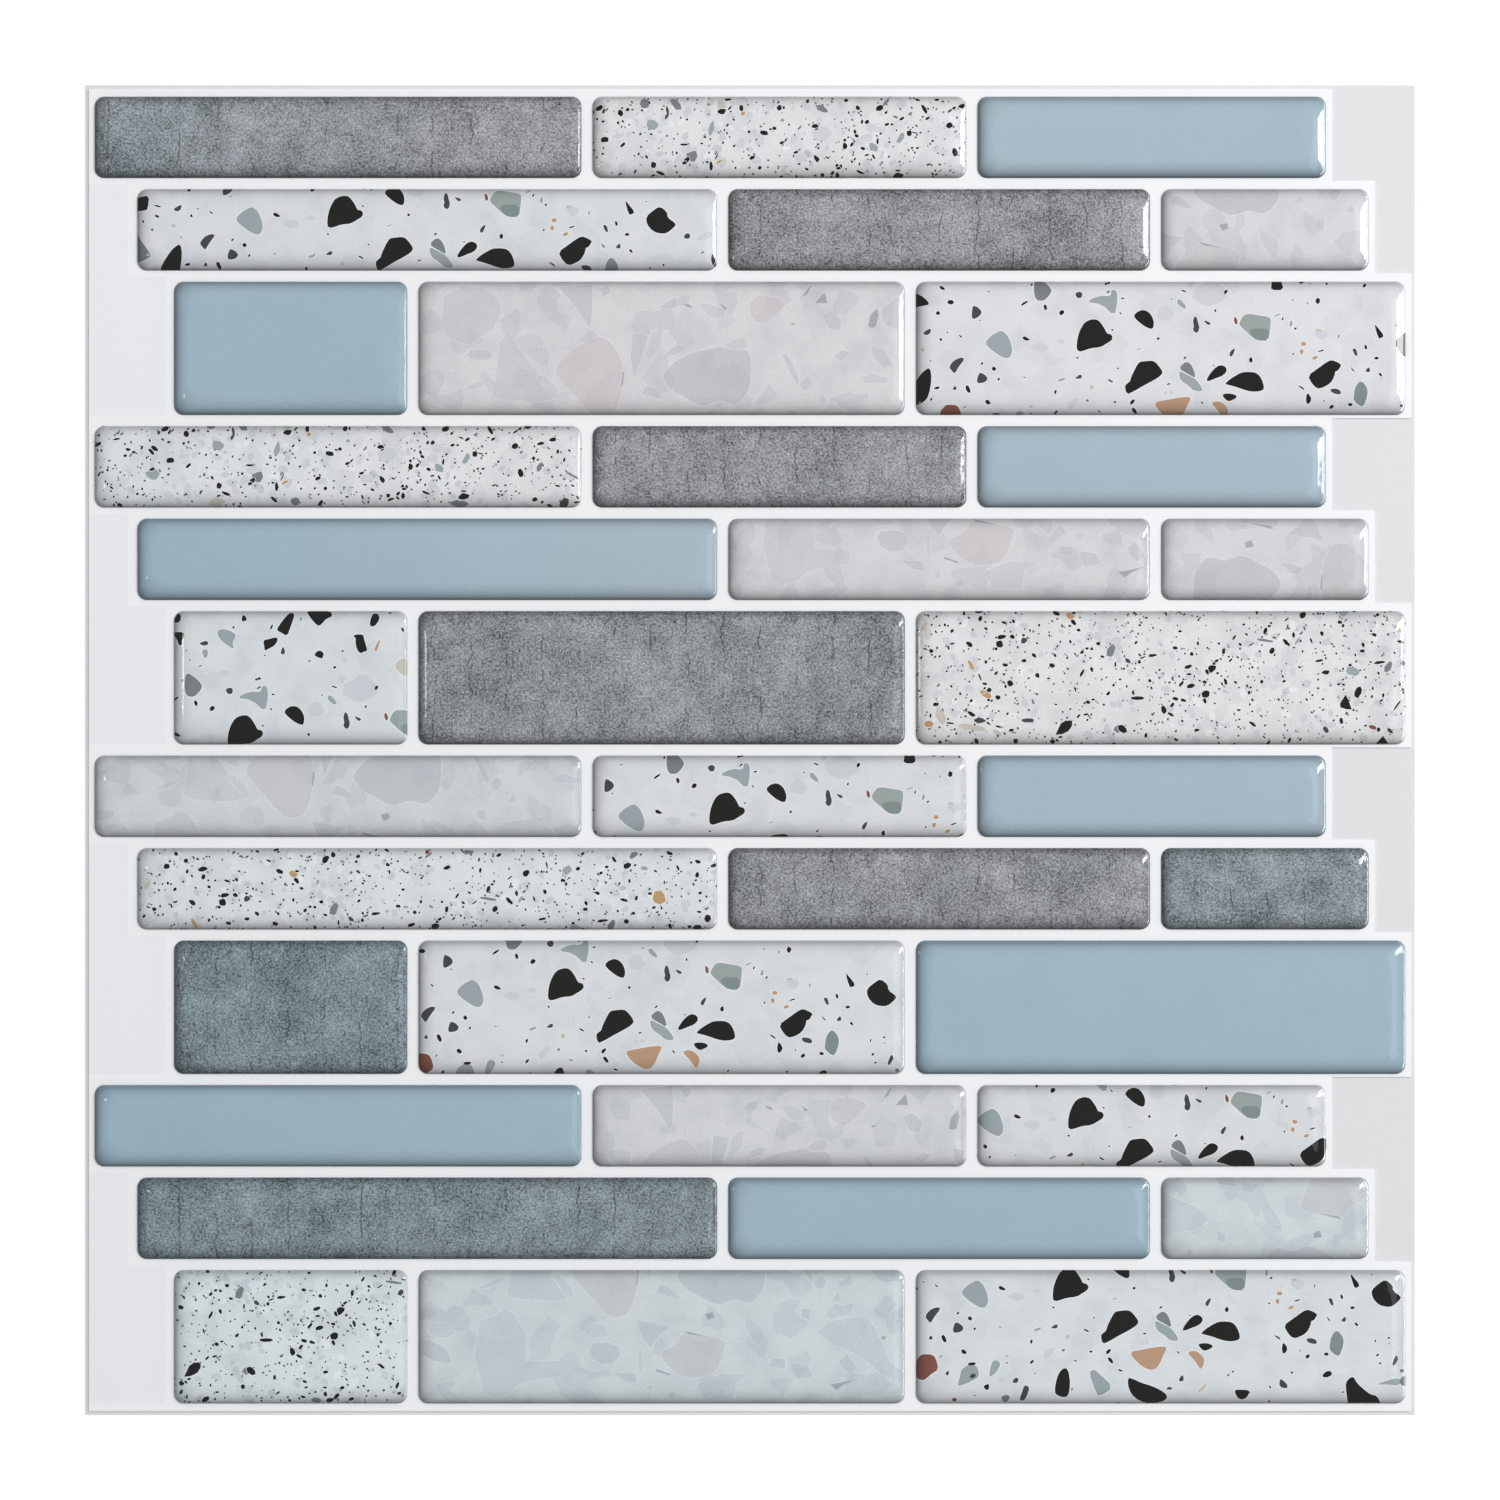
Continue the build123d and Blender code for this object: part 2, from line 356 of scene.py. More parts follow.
# The small chips of the terrazzo print
TERRAZZO_PEBBLES: dict[Tone, tuple[Speck, ...]] = {
    Tone.HAZE: (
        (23.7, 0.6, 1.6, 0.9, 30), (42.6, 10.5, 1.9, 0.3, 80), (35.8, 2.5, 3.5, 1.5, 45),
        (28.6, 15.4, 4.2, 2.2, 0), (33.1, 16.7, 2.0, 1.4, 0), (66.0, 27.5, 6.5, 5.0, 0),
        (57.0, 23.0, 4.5, 3.5, 0), (92.8, 18.3, 3.2, 2.4, 0), (36.0, 31.5, 2.6, 1.6, 0),
        (63.0, 30.0, 1.8, 2.0, 0), (25.2, -3.5, 1.8, 1.2, 0), (58.3, 5.1, 0.9, 1.0, 0),
        (57.1, 4.9, 0.8, 0.8, 0), (63.6, 34.4, 1.0, 1.2, 0),
    ),
    Tone.BLACK: (
        (6.0, 29.0, 1.6, 0.8, -30), (7.9, 25.7, 1.6, 1.1, -10), (5.0, 23.2, 1.1, 0.9, 0),
        (14.6, 21.6, 0.45, 0.4, 0), (7.2, 18.8, 0.4, 0.4, 0), (5.7, 17.2, 0.8, 0.6, -60),
        (10.2, 17.9, 1.1, 0.35, -40), (15.1, 11.7, 0.8, 0.45, 45), (17.8, 10.5, 1.2, 1.0, -30),
        (18.9, 8.1, 0.8, 0.5, 60), (4.8, 6.1, 1.3, 0.7, 10), (11.9, 5.8, 2.0, 1.1, -60),
        (3.5, 3.5, 0.8, 0.5, 50), (16.5, 2.8, 1.5, 1.1, -40), (18.3, 0.1, 2.0, 0.8, 5),
        (26.3, 0.3, 0.5, 0.4, 0), (24.8, 25.5, 2.1, 0.55, 35), (29.6, 24.6, 1.4, 0.9, -70),
        (26.5, 29.8, 0.8, 0.5, 60), (33.3, 23.4, 1.5, 1.1, 30), (44.0, 28.1, 1.1, 0.35, 35),
        (43.5, 30.0, 0.8, 0.6, 0), (47.3, 26.6, 0.9, 0.4, 10), (46.8, 23.2, 0.8, 0.35, -45),
        (44.9, 19.4, 0.6, 0.4, -20), (36.9, 13.0, 0.7, 0.4, -20), (55.4, 17.4, 0.8, 0.6, 40),
        (25.1, 17.4, 2.0, 0.9, -25), (46.2, 10.6, 0.5, 0.4, 0), (44.5, 7.7, 1.4, 0.45, -30),
        (31.9, 5.2, 1.1, 0.6, 80), (45.5, 2.9, 0.8, 0.5, 0), (32.0, 0.5, 1.4, 0.6, 45),
        (49.5, 2.9, 1.5, 0.9, 50), (50.0, 0.9, 1.8, 0.9, -55), (65.5, 2.7, 0.9, 0.4, -45),
        (61.5, 13.0, 1.0, 0.4, 40), (57.8, 7.0, 1.0, 0.35, 15), (61.3, 28.3, 1.4, 0.35, -20),
        (58.5, 26.4, 0.4, 0.4, 0), (70.9, 28.1, 1.2, 0.8, 70), (68.5, 23.8, 0.8, 0.45, 70),
        (76.6, 12.5, 1.3, 0.9, 80), (88.2, 30.3, 1.3, 0.6, 10), (94.0, 30.0, 0.7, 0.6, -45),
        (91.9, 26.0, 1.6, 1.1, 85), (102.7, 29.6, 1.2, 0.7, 50), (83.9, 21.9, 0.9, 0.4, 70),
        (86.8, 19.7, 0.8, 0.5, 30), (92.7, 14.6, 1.7, 0.4, 15), (86.3, 13.9, 0.6, 0.4, 60),
        (95.1, 1.8, 1.3, 0.8, 45), (99.4, 2.3, 1.1, 0.8, -20), (102.9, 15.4, 1.2, 0.6, -80),
        (105.4, 12.9, 1.1, 0.7, 0), (106.3, 9.1, 1.2, 0.6, -50), (111.1, 2.1, 0.9, 0.6, 30),
        (-2.0, 19.4, 1.8, 0.4, -15), (-2.2, 17.1, 1.2, 0.6, -25), (-5.4, 15.9, 1.0, 0.5, -65),
        (113.7, 6.0, 0.5, 0.5, 0), (110.6, 5.3, 0.8, 0.4, 80), (109.8, 20.4, 0.4, 0.4, 0),
        (44.1, 30.2, 0.9, 0.6, 0), (63.2, 36.5, 0.6, 0.5, 0), (55.6, 34.2, 0.5, 0.5, 0),
        (46.9, 42.0, 1.4, 0.5, 60), (38.2, 41.9, 0.6, 0.5, 40), (45.4, 35.5, 0.6, 0.3, 0),
        (74.0, 45.2, 1.0, 0.4, 0), (52.2, -1.4, 1.2, 0.5, -20), (51.8, -9.0, 0.6, 0.5, 0),
        (41.2, -5.7, 0.8, 0.4, 70), (78.0, -1.7, 0.9, 0.35, 35), (76.9, -2.5, 0.9, 0.35, 45),
        (86.5, -5.2, 0.9, 0.4, -55), (86.4, -8.6, 0.8, 0.5, -20), (91.5, -1.9, 0.7, 0.5, -30),
        (99.6, -2.3, 2.7, 1.6, 20), (111.7, 0.2, 0.7, 0.5, 0), (103.2, -6.4, 0.6, 0.4, 0),
    ),
    Tone.CHARCOAL: (
        (37.3, 27.4, 1.9, 1.6, 0), (18.5, -2.7, 1.7, 1.1, 25),
    ),
    Tone.GREY: (
        (3.3, 12.3, 0.6, 0.4, 0), (11.2, 1.8, 0.9, 0.4, 45), (16.6, 28.2, 0.9, 0.4, -10),
        (24.8, 8.5, 0.8, 0.3, 0), (39.2, 3.2, 0.8, 0.7, 0), (42.0, 0.8, 1.2, 0.4, -15),
        (68.1, 11.2, 0.7, 0.4, 0), (90.2, 30.0, 0.9, 0.3, 20), (89.6, 25.5, 0.8, 0.4, 80),
        (86.2, 26.2, 0.6, 0.4, 0), (96.7, 17.9, 1.1, 0.4, 85), (93.4, 3.1, 0.8, 0.4, 80),
        (-3.3, 14.0, 0.8, 0.7, 0), (122.6, 8.8, 0.9, 0.5, 30), (53.6, 43.9, 1.0, 0.5, 70),
        (28.2, 34.4, 0.8, 0.4, 80), (27.4, 36.6, 0.7, 0.4, 70), (30.6, 33.1, 0.9, 0.4, 30),
        (32.7, -2.1, 0.5, 0.4, 0), (19.0, -7.2, 0.6, 0.4, 0), (113.8, 4.7, 0.5, 0.4, 0),
        (116.7, -1.6, 1.0, 0.9, 0),
    ),
    Tone.PALE_GREY: (
        (33.3, 8.0, 1.9, 0.7, 20), (51.0, 15.0, 1.4, 0.3, 20), (82.7, 22.8, 2.0, 0.35, 25),
    ),
    Tone.PALE_TAN: (
        (1.5, 14.9, 1.3, 1.1, 0), (26.3, 1.9, 1.3, 0.8, 10), (40.2, 6.3, 1.2, 1.2, 0),
        (92.0, 19.3, 1.6, 0.8, 0),
    ),
    Tone.TAN: (
        (88.6, 16.2, 1.3, 1.1, 0), (88.2, 14.4, 1.0, 1.2, 0), (91.3, 13.0, 1.4, 0.8, 30),
    ),
    Tone.BROWN: (
        (73.1, 21.5, 2.0, 0.8, -75), (14.3, -8.2, 1.2, 1.0, 0),
    ),
}


@dataclass(frozen=True)
class TerrazzoPrint:
    """The bold terrazzo: large and small chips in a pale ground, each with a thin pale edge.

    Attributes:
        halo: How far the pale edge reaches, in millimetres.
        seed: Where the unevenness of the small chips comes from.
    """

    halo: float = 0.2
    seed: int = 11

    def chips(self) -> Iterator[Chip]:
        """Yields the chips of the whole master, the lower ones first."""
        draw = random.Random(self.seed)
        made = []
        for tone, outlines in TERRAZZO_CHIPS.items():
            made += [Chip(outline, tone).eased() for outline in outlines]
        for tone, rows in TERRAZZO_PEBBLES.items():
            made += [Chip(pebble(*row, draw), tone) for row in rows]
        made.sort(key=lambda chip: chip.tone is not Tone.HAZE)
        for chip in made:
            if chip.tone is not Tone.HAZE:
                yield chip.grown(self.halo, Tone.HALO)
        yield from made


# The lower part of the speckle print
SPECKLE_LOWER: dict[Tone, tuple[Speck, ...]] = {
    Tone.PALE_GREY: (
        (87.3, 23.7, 1.6, 0.6, 55), (99.7, 16.8, 2.6, 1.7, -20), (97.9, 30.3, 2.1, 1.6, 30),
        (115.6, 30.8, 1.4, 0.8, 0),
    ),
    Tone.HAZE: ((57.8, 0.6, 1.8, 1.3, -60),),
    Tone.PALE_TAN: (
        (12.8, 3.9, 5.0, 1.1, -8), (5.6, 6.6, 3.4, 1.7, -70), (1.9, 27.0, 2.1, 1.1, 60),
        (18.7, 2.7, 1.9, 0.8, -30), (30.7, 32.5, 0.8, 0.9, 60), (110.6, 26.2, 1.6, 0.9, 0),
    ),
    Tone.GREY: (
        (79.9, 23.8, 3.2, 0.5, -8), (108.0, 17.7, 2.4, 1.2, 55), (113.1, 33.8, 1.8, 1.0, 30),
        (75.3, 34.5, 2.4, 0.8, 0), (80.7, 32.5, 1.0, 0.3, -60), (66.2, 33.8, 1.6, 0.5, 40),
        (62.1, -3.2, 1.9, 1.1, 0), (46.4, 3.6, 2.0, 1.4, 0), (44.6, 21.5, 2.4, 1.4, 65),
        (36.9, 14.0, 0.7, 0.3, 80), (129.8, 21.5, 0.7, 0.5, 0),
    ),
    Tone.ORANGE: (
        (12.6, 18.1, 2.3, 0.8, -60), (16.1, 11.5, 2.3, 1.3, -30), (15.2, 12.0, 1.0, 0.8, 0),
        (35.3, 29.5, 1.6, 1.4, -30), (119.0, 24.1, 2.6, 2.5, 30), (2.8, 4.7, 1.8, 1.2, 0),
    ),
    Tone.BROWN: ((104.5, 3.9, 1.6, 0.8, -20), (65.9, 34.5, 0.9, 0.8, 0)),
    Tone.CHARCOAL: (
        (24.7, 23.8, 1.4, 1.1, 20), (14.6, 15.5, 1.6, 0.4, -72), (14.6, 5.5, 2.3, 1.1, 0),
        (25.5, 5.5, 2.8, 0.9, 0), (48.5, 19.1, 1.1, 0.8, -30), (93.8, 3.4, 1.3, 0.9, -60),
    ),
    Tone.BLACK: (
        (8.2, 26.0, 0.9, 0.6, 45), (6.6, 27.4, 0.6, 0.5, 100), (11.0, 30.0, 0.9, 0.6, 90),
        (14.7, 28.8, 1.1, 0.8, 90), (14.6, 30.6, 1.8, 1.0, 15), (16.0, 26.5, 0.7, 0.6, -30),
        (20.2, 27.9, 1.1, 0.5, -8), (22.3, 28.2, 0.9, 0.6, -70), (19.6, 24.6, 1.9, 0.9, 12),
        (19.1, 23.0, 1.6, 1.3, -70), (22.0, 24.7, 1.0, 0.7, -35), (18.3, 21.9, 0.6, 0.6, 0),
        (25.6, 24.4, 0.8, 0.3, -30), (24.6, 25.0, 0.6, 0.5, 0), (12.2, 23.0, 1.4, 0.9, -35),
        (8.3, 23.1, 1.1, 0.4, 12), (7.4, 22.2, 0.9, 0.4, -75), (3.5, 21.4, 1.0, 0.8, 0),
        (2.1, 21.9, 1.1, 0.3, -18), (1.1, 19.8, 0.8, 0.5, 45), (27.0, 20.4, 1.0, 0.7, -40),
        (24.7, 19.2, 1.0, 0.7, 15), (16.0, 18.9, 0.7, 0.6, 90), (20.4, 18.2, 1.1, 0.6, -15),
        (18.3, 16.3, 1.0, 0.5, 50), (27.8, 15.8, 1.0, 0.9, -30), (21.6, 14.0, 1.3, 1.1, -50),
        (20.5, 13.3, 0.7, 0.5, 90), (15.7, 13.9, 1.0, 0.5, -5), (15.7, 12.9, 0.7, 0.4, 35),
        (16.7, 12.5, 0.9, 0.9, 0), (18.7, 10.8, 1.1, 0.9, 0), (16.6, 10.2, 0.6, 0.5, 0),
        (12.6, 10.0, 0.7, 0.5, 45), (12.7, 7.0, 1.6, 0.7, -30), (4.5, 9.2, 1.2, 0.8, 0),
        (16.6, 4.8, 1.0, 0.4, -38), (18.8, 4.1, 1.3, 0.4, -15), (7.8, 4.9, 1.6, 0.4, -5),
        (3.3, 6.6, 0.9, 0.4, 85), (33.0, 1.7, 0.9, 0.4, 10), (31.3, 0.7, 1.1, 0.9, 0),
        (32.3, 1.0, 0.8, 0.5, -40), (21.8, 3.3, 1.0, 0.6, 12), (22.8, 0.8, 0.9, 1.0, 90),
        (13.8, 0.8, 1.2, 0.8, -60), (5.5, 0.6, 0.7, 0.6, 0), (37.2, 6.5, 1.0, 0.5, 45),
        (38.9, 6.9, 1.0, 0.5, 15), (47.2, 3.6, 2.0, 1.2, -40), (50.7, 10.6, 2.6, 0.7, 0),
        (49.7, 11.9, 1.0, 0.5, -75), (52.6, 2.1, 1.1, 0.6, 90), (39.3, 9.7, 0.9, 0.7, -15),
        (40.5, 10.3, 0.7, 0.4, 5), (44.0, 11.7, 1.0, 0.6, 50), (45.2, 13.6, 0.6, 0.5, 90),
        (46.7, 14.9, 0.6, 0.4, 0), (53.5, 14.6, 0.7, 0.6, -30), (38.0, 16.4, 1.9, 0.5, 62),
        (40.2, 17.2, 1.0, 0.6, -65), (36.4, 12.7, 1.1, 0.4, -72), (31.1, 18.1, 1.1, 0.8, -20),
        (30.3, 15.1, 0.6, 0.4, 0), (38.0, 21.1, 0.9, 0.6, 40), (39.1, 22.0, 0.7, 0.5, 10),
        (40.2, 21.9, 0.6, 0.6, 0), (36.4, 20.7, 0.7, 0.3, -50), (41.7, 23.1, 0.8, 0.7, 0),
        (42.6, 20.1, 0.8, 0.5, -10), (50.3, 23.3, 0.8, 0.5, 50), (51.2, 20.5, 0.7, 0.5, -45),
        (54.1, 20.4, 1.7, 0.6, 8), (51.9, 19.9, 1.4, 0.3, 20), (51.1, 18.9, 0.8, 0.7, 50),
        (45.6, 18.3, 1.1, 0.4, 90), (47.5, 17.3, 0.6, 0.4, 30), (36.0, 28.0, 1.3, 0.8, -50),
        (37.2, 26.2, 0.8, 0.6, -20), (36.2, 30.1, 0.8, 0.5, 0), (32.1, 30.1, 1.5, 0.9, -22),
        (35.3, 23.6, 0.7, 0.5, 90), (52.7, 29.0, 0.7, 0.4, 10), (31.8, 20.4, 0.8, 0.5, -50),
        (60.4, 25.9, 0.7, 0.5, 15), (59.3, 22.1, 1.0, 0.6, -10), (64.5, 23.1, 0.8, 0.5, 80),
        (63.1, 20.7, 0.8, 0.7, 90), (62.3, 17.8, 1.5, 0.8, 22), (62.5, 16.1, 1.0, 0.5, 0),
        (67.7, 17.3, 1.7, 1.4, 30), (66.6, 16.6, 1.2, 0.6, -60), (68.7, 19.1, 1.0, 0.5, 30),
        (68.2, 18.5, 0.7, 0.5, -30), (72.0, 19.3, 1.0, 0.4, 45), (70.4, 21.4, 1.3, 0.6, 85),
        (69.3, 23.1, 0.6, 0.5, -15), (72.8, 24.5, 1.1, 0.4, 55), (74.2, 22.9, 0.7, 0.5, -30),
        (76.7, 22.9, 1.2, 0.3, 32), (75.6, 25.2, 0.7, 0.4, -35), (75.0, 27.5, 0.6, 0.5, 20),
        (79.9, 26.0, 1.5, 0.8, 72), (80.8, 27.1, 0.7, 0.5, 5), (81.5, 21.5, 1.3, 1.0, 65),
        (84.7, 23.4, 1.8, 0.7, -42), (86.4, 25.1, 1.1, 0.6, -80), (90.4, 23.8, 1.2, 0.4, -68),
        (92.9, 25.4, 1.0, 0.7, -60), (97.0, 28.0, 1.0, 0.7, -5), (97.7, 27.2, 0.7, 0.6, 90),
        (88.5, 29.6, 1.5, 1.2, 60), (104.9, 25.1, 1.0, 0.6, -25), (104.1, 26.0, 0.6, 0.4, -30),
        (102.3, 22.8, 1.0, 0.6, -70), (102.1, 21.4, 1.0, 0.7, 5), (111.0, 23.5, 1.5, 0.6, -15),
        (106.1, 18.8, 2.2, 0.6, 8), (111.5, 18.6, 1.1, 0.9, -60), (92.3, 19.2, 1.6, 0.5, 10),
        (93.8, 16.5, 1.5, 0.8, 5), (99.3, 18.2, 0.7, 0.6, 0), (100.5, 20.5, 0.6, 0.4, -70),
        (96.7, 13.8, 0.7, 0.5, 0), (97.8, 13.7, 0.7, 0.5, -15), (101.1, 12.0, 2.3, 1.4, 70),
        (93.1, 10.4, 0.6, 0.4, 10), (106.9, 11.2, 0.9, 0.5, 85), (106.4, 10.0, 1.0, 0.4, 32),
        (111.5, 12.3, 1.3, 0.6, 88), (110.1, 8.9, 2.4, 0.4, 55), (97.3, 5.5, 1.3, 0.8, -75),
        (105.8, 3.4, 1.0, 0.7, 80), (108.5, 3.1, 1.4, 0.7, -40), (66.3, 11.6, 1.7, 1.5, 20),
        (66.1, 10.0, 1.1, 0.7, -60), (64.8, 11.2, 0.9, 0.3, 60), (62.9, 13.4, 1.5, 0.9, 20),
        (60.7, 13.9, 1.3, 0.6, 50), (66.0, 14.3, 1.0, 0.6, -15), (70.8, 14.4, 1.3, 0.6, -75),
        (70.0, 13.9, 0.8, 0.4, -55), (73.1, 14.2, 0.7, 0.5, -30), (79.1, 14.4, 0.8, 0.7, 90),
        (76.2, 11.9, 0.8, 0.6, -80), (83.9, 15.6, 0.7, 0.4, -60), (84.2, 14.5, 0.7, 0.5, 0),
        (83.0, 10.3, 0.6, 0.4, -55), (61.2, 10.1, 1.1, 0.6, -15), (59.3, 10.5, 1.2, 0.7, -20),
        (56.7, 7.9, 1.6, 1.1, -65), (58.6, 9.0, 1.1, 0.6, 55), (58.3, 6.9, 1.3, 0.6, -30),
        (60.9, 5.4, 0.7, 0.4, -30), (64.3, 3.3, 1.1, 0.6, 5), (73.8, 7.9, 0.8, 0.4, -5),
        (79.0, 6.5, 0.7, 0.3, -50), (77.0, 4.7, 1.6, 0.6, -38), (69.1, 1.6, 0.7, 0.3, -50),
        (59.5, 1.1, 1.1, 0.5, -25), (85.5, 1.0, 1.1, 0.6, 65), (88.0, 1.2, 0.8, 0.4, 50),
        (80.8, 0.5, 0.9, 0.5, 30), (8.4, 34.1, 0.8, 0.8, 0), (13.4, 32.9, 0.7, 0.4, -20),
        (10.7, 32.5, 1.0, 0.9, 60), (6.3, 31.3, 1.2, 1.1, 0), (27.0, 34.6, 0.9, 0.5, -20),
        (21.6, 34.4, 0.8, 0.4, 50), (24.6, 33.4, 0.9, 0.3, 35), (31.3, 35.0, 1.2, 0.5, 15),
        (29.7, 32.5, 1.0, 0.4, -20), (42.7, 32.9, 1.7, 1.2, 55), (44.4, 33.9, 1.1, 0.8, 90),
        (50.1, 33.5, 0.9, 0.7, 40), (49.7, 32.3, 0.6, 0.6, 0), (56.9, 31.6, 0.8, 0.7, -30),
        (56.6, 34.9, 1.0, 0.5, -30), (57.3, 29.9, 0.8, 0.4, -80), (60.5, 30.2, 1.4, 0.3, -45),
        (64.3, 33.2, 0.9, 0.4, 20), (70.4, 30.9, 1.3, 0.8, 20), (77.8, 32.8, 0.8, 0.4, 85),
        (78.1, 30.3, 1.0, 0.5, 85), (82.3, 33.8, 1.1, 0.6, 20), (84.8, 28.6, 1.1, 0.3, 40),
        (93.3, 31.4, 1.7, 0.3, -80), (100.4, 30.7, 0.9, 0.7, 45), (101.5, 34.1, 0.9, 0.5, 40),
        (105.7, 29.7, 0.7, 0.6, 45), (107.0, 31.1, 0.8, 0.5, 0), (108.7, 32.8, 1.3, 0.6, -60),
        (111.7, 31.4, 1.6, 1.1, 30), (118.2, 30.1, 0.8, 0.4, -30), (121.4, 34.2, 1.4, 0.7, -20),
        (123.3, 30.9, 1.3, 0.5, -65), (127.8, 32.3, 1.1, 0.7, -15), (127.7, 29.3, 1.1, 0.8, 60),
        (131.5, 31.4, 1.3, 0.7, 20), (112.2, 27.9, 0.8, 0.5, 85), (113.8, 23.9, 1.0, 0.6, 70),
        (116.9, 25.0, 0.9, 0.5, -10), (117.8, 21.8, 0.8, 0.5, 20), (113.1, 20.5, 0.8, 0.6, -10),
        (121.5, 17.5, 1.2, 0.7, -70), (128.4, 25.1, 0.8, 0.6, 20), (128.2, 20.8, 0.9, 0.5, -10),
        (130.1, 19.3, 1.5, 1.2, 85), (127.6, 17.2, 1.8, 0.9, 10), (126.0, 17.4, 0.9, 0.6, 0),
        (31.2, -1.3, 1.1, 0.6, 60), (32.5, -2.4, 1.0, 0.4, 85), (36.8, -3.0, 1.8, 0.9, 30),
        (39.4, -1.3, 0.7, 0.4, 5), (45.3, 0.0, 1.0, 0.9, 80), (53.3, -1.5, 1.0, 0.4, 40),
        (56.0, -3.3, 0.7, 0.6, -30), (59.1, -2.4, 1.1, 0.5, -20), (59.8, -0.2, 0.8, 0.4, 15),
        (64.2, -1.8, 1.1, 0.7, -75), (64.2, -0.2, 0.9, 0.4, -5), (66.7, -2.4, 1.7, 0.8, 48),
        (65.2, -3.2, 1.7, 0.9, 20), (68.0, -0.3, 1.0, 0.6, 15), (70.1, -2.9, 1.2, 0.7, 20),
        (80.7, 0.2, 1.4, 0.6, 70), (81.1, -1.6, 0.8, 0.6, 5),
    ),
}

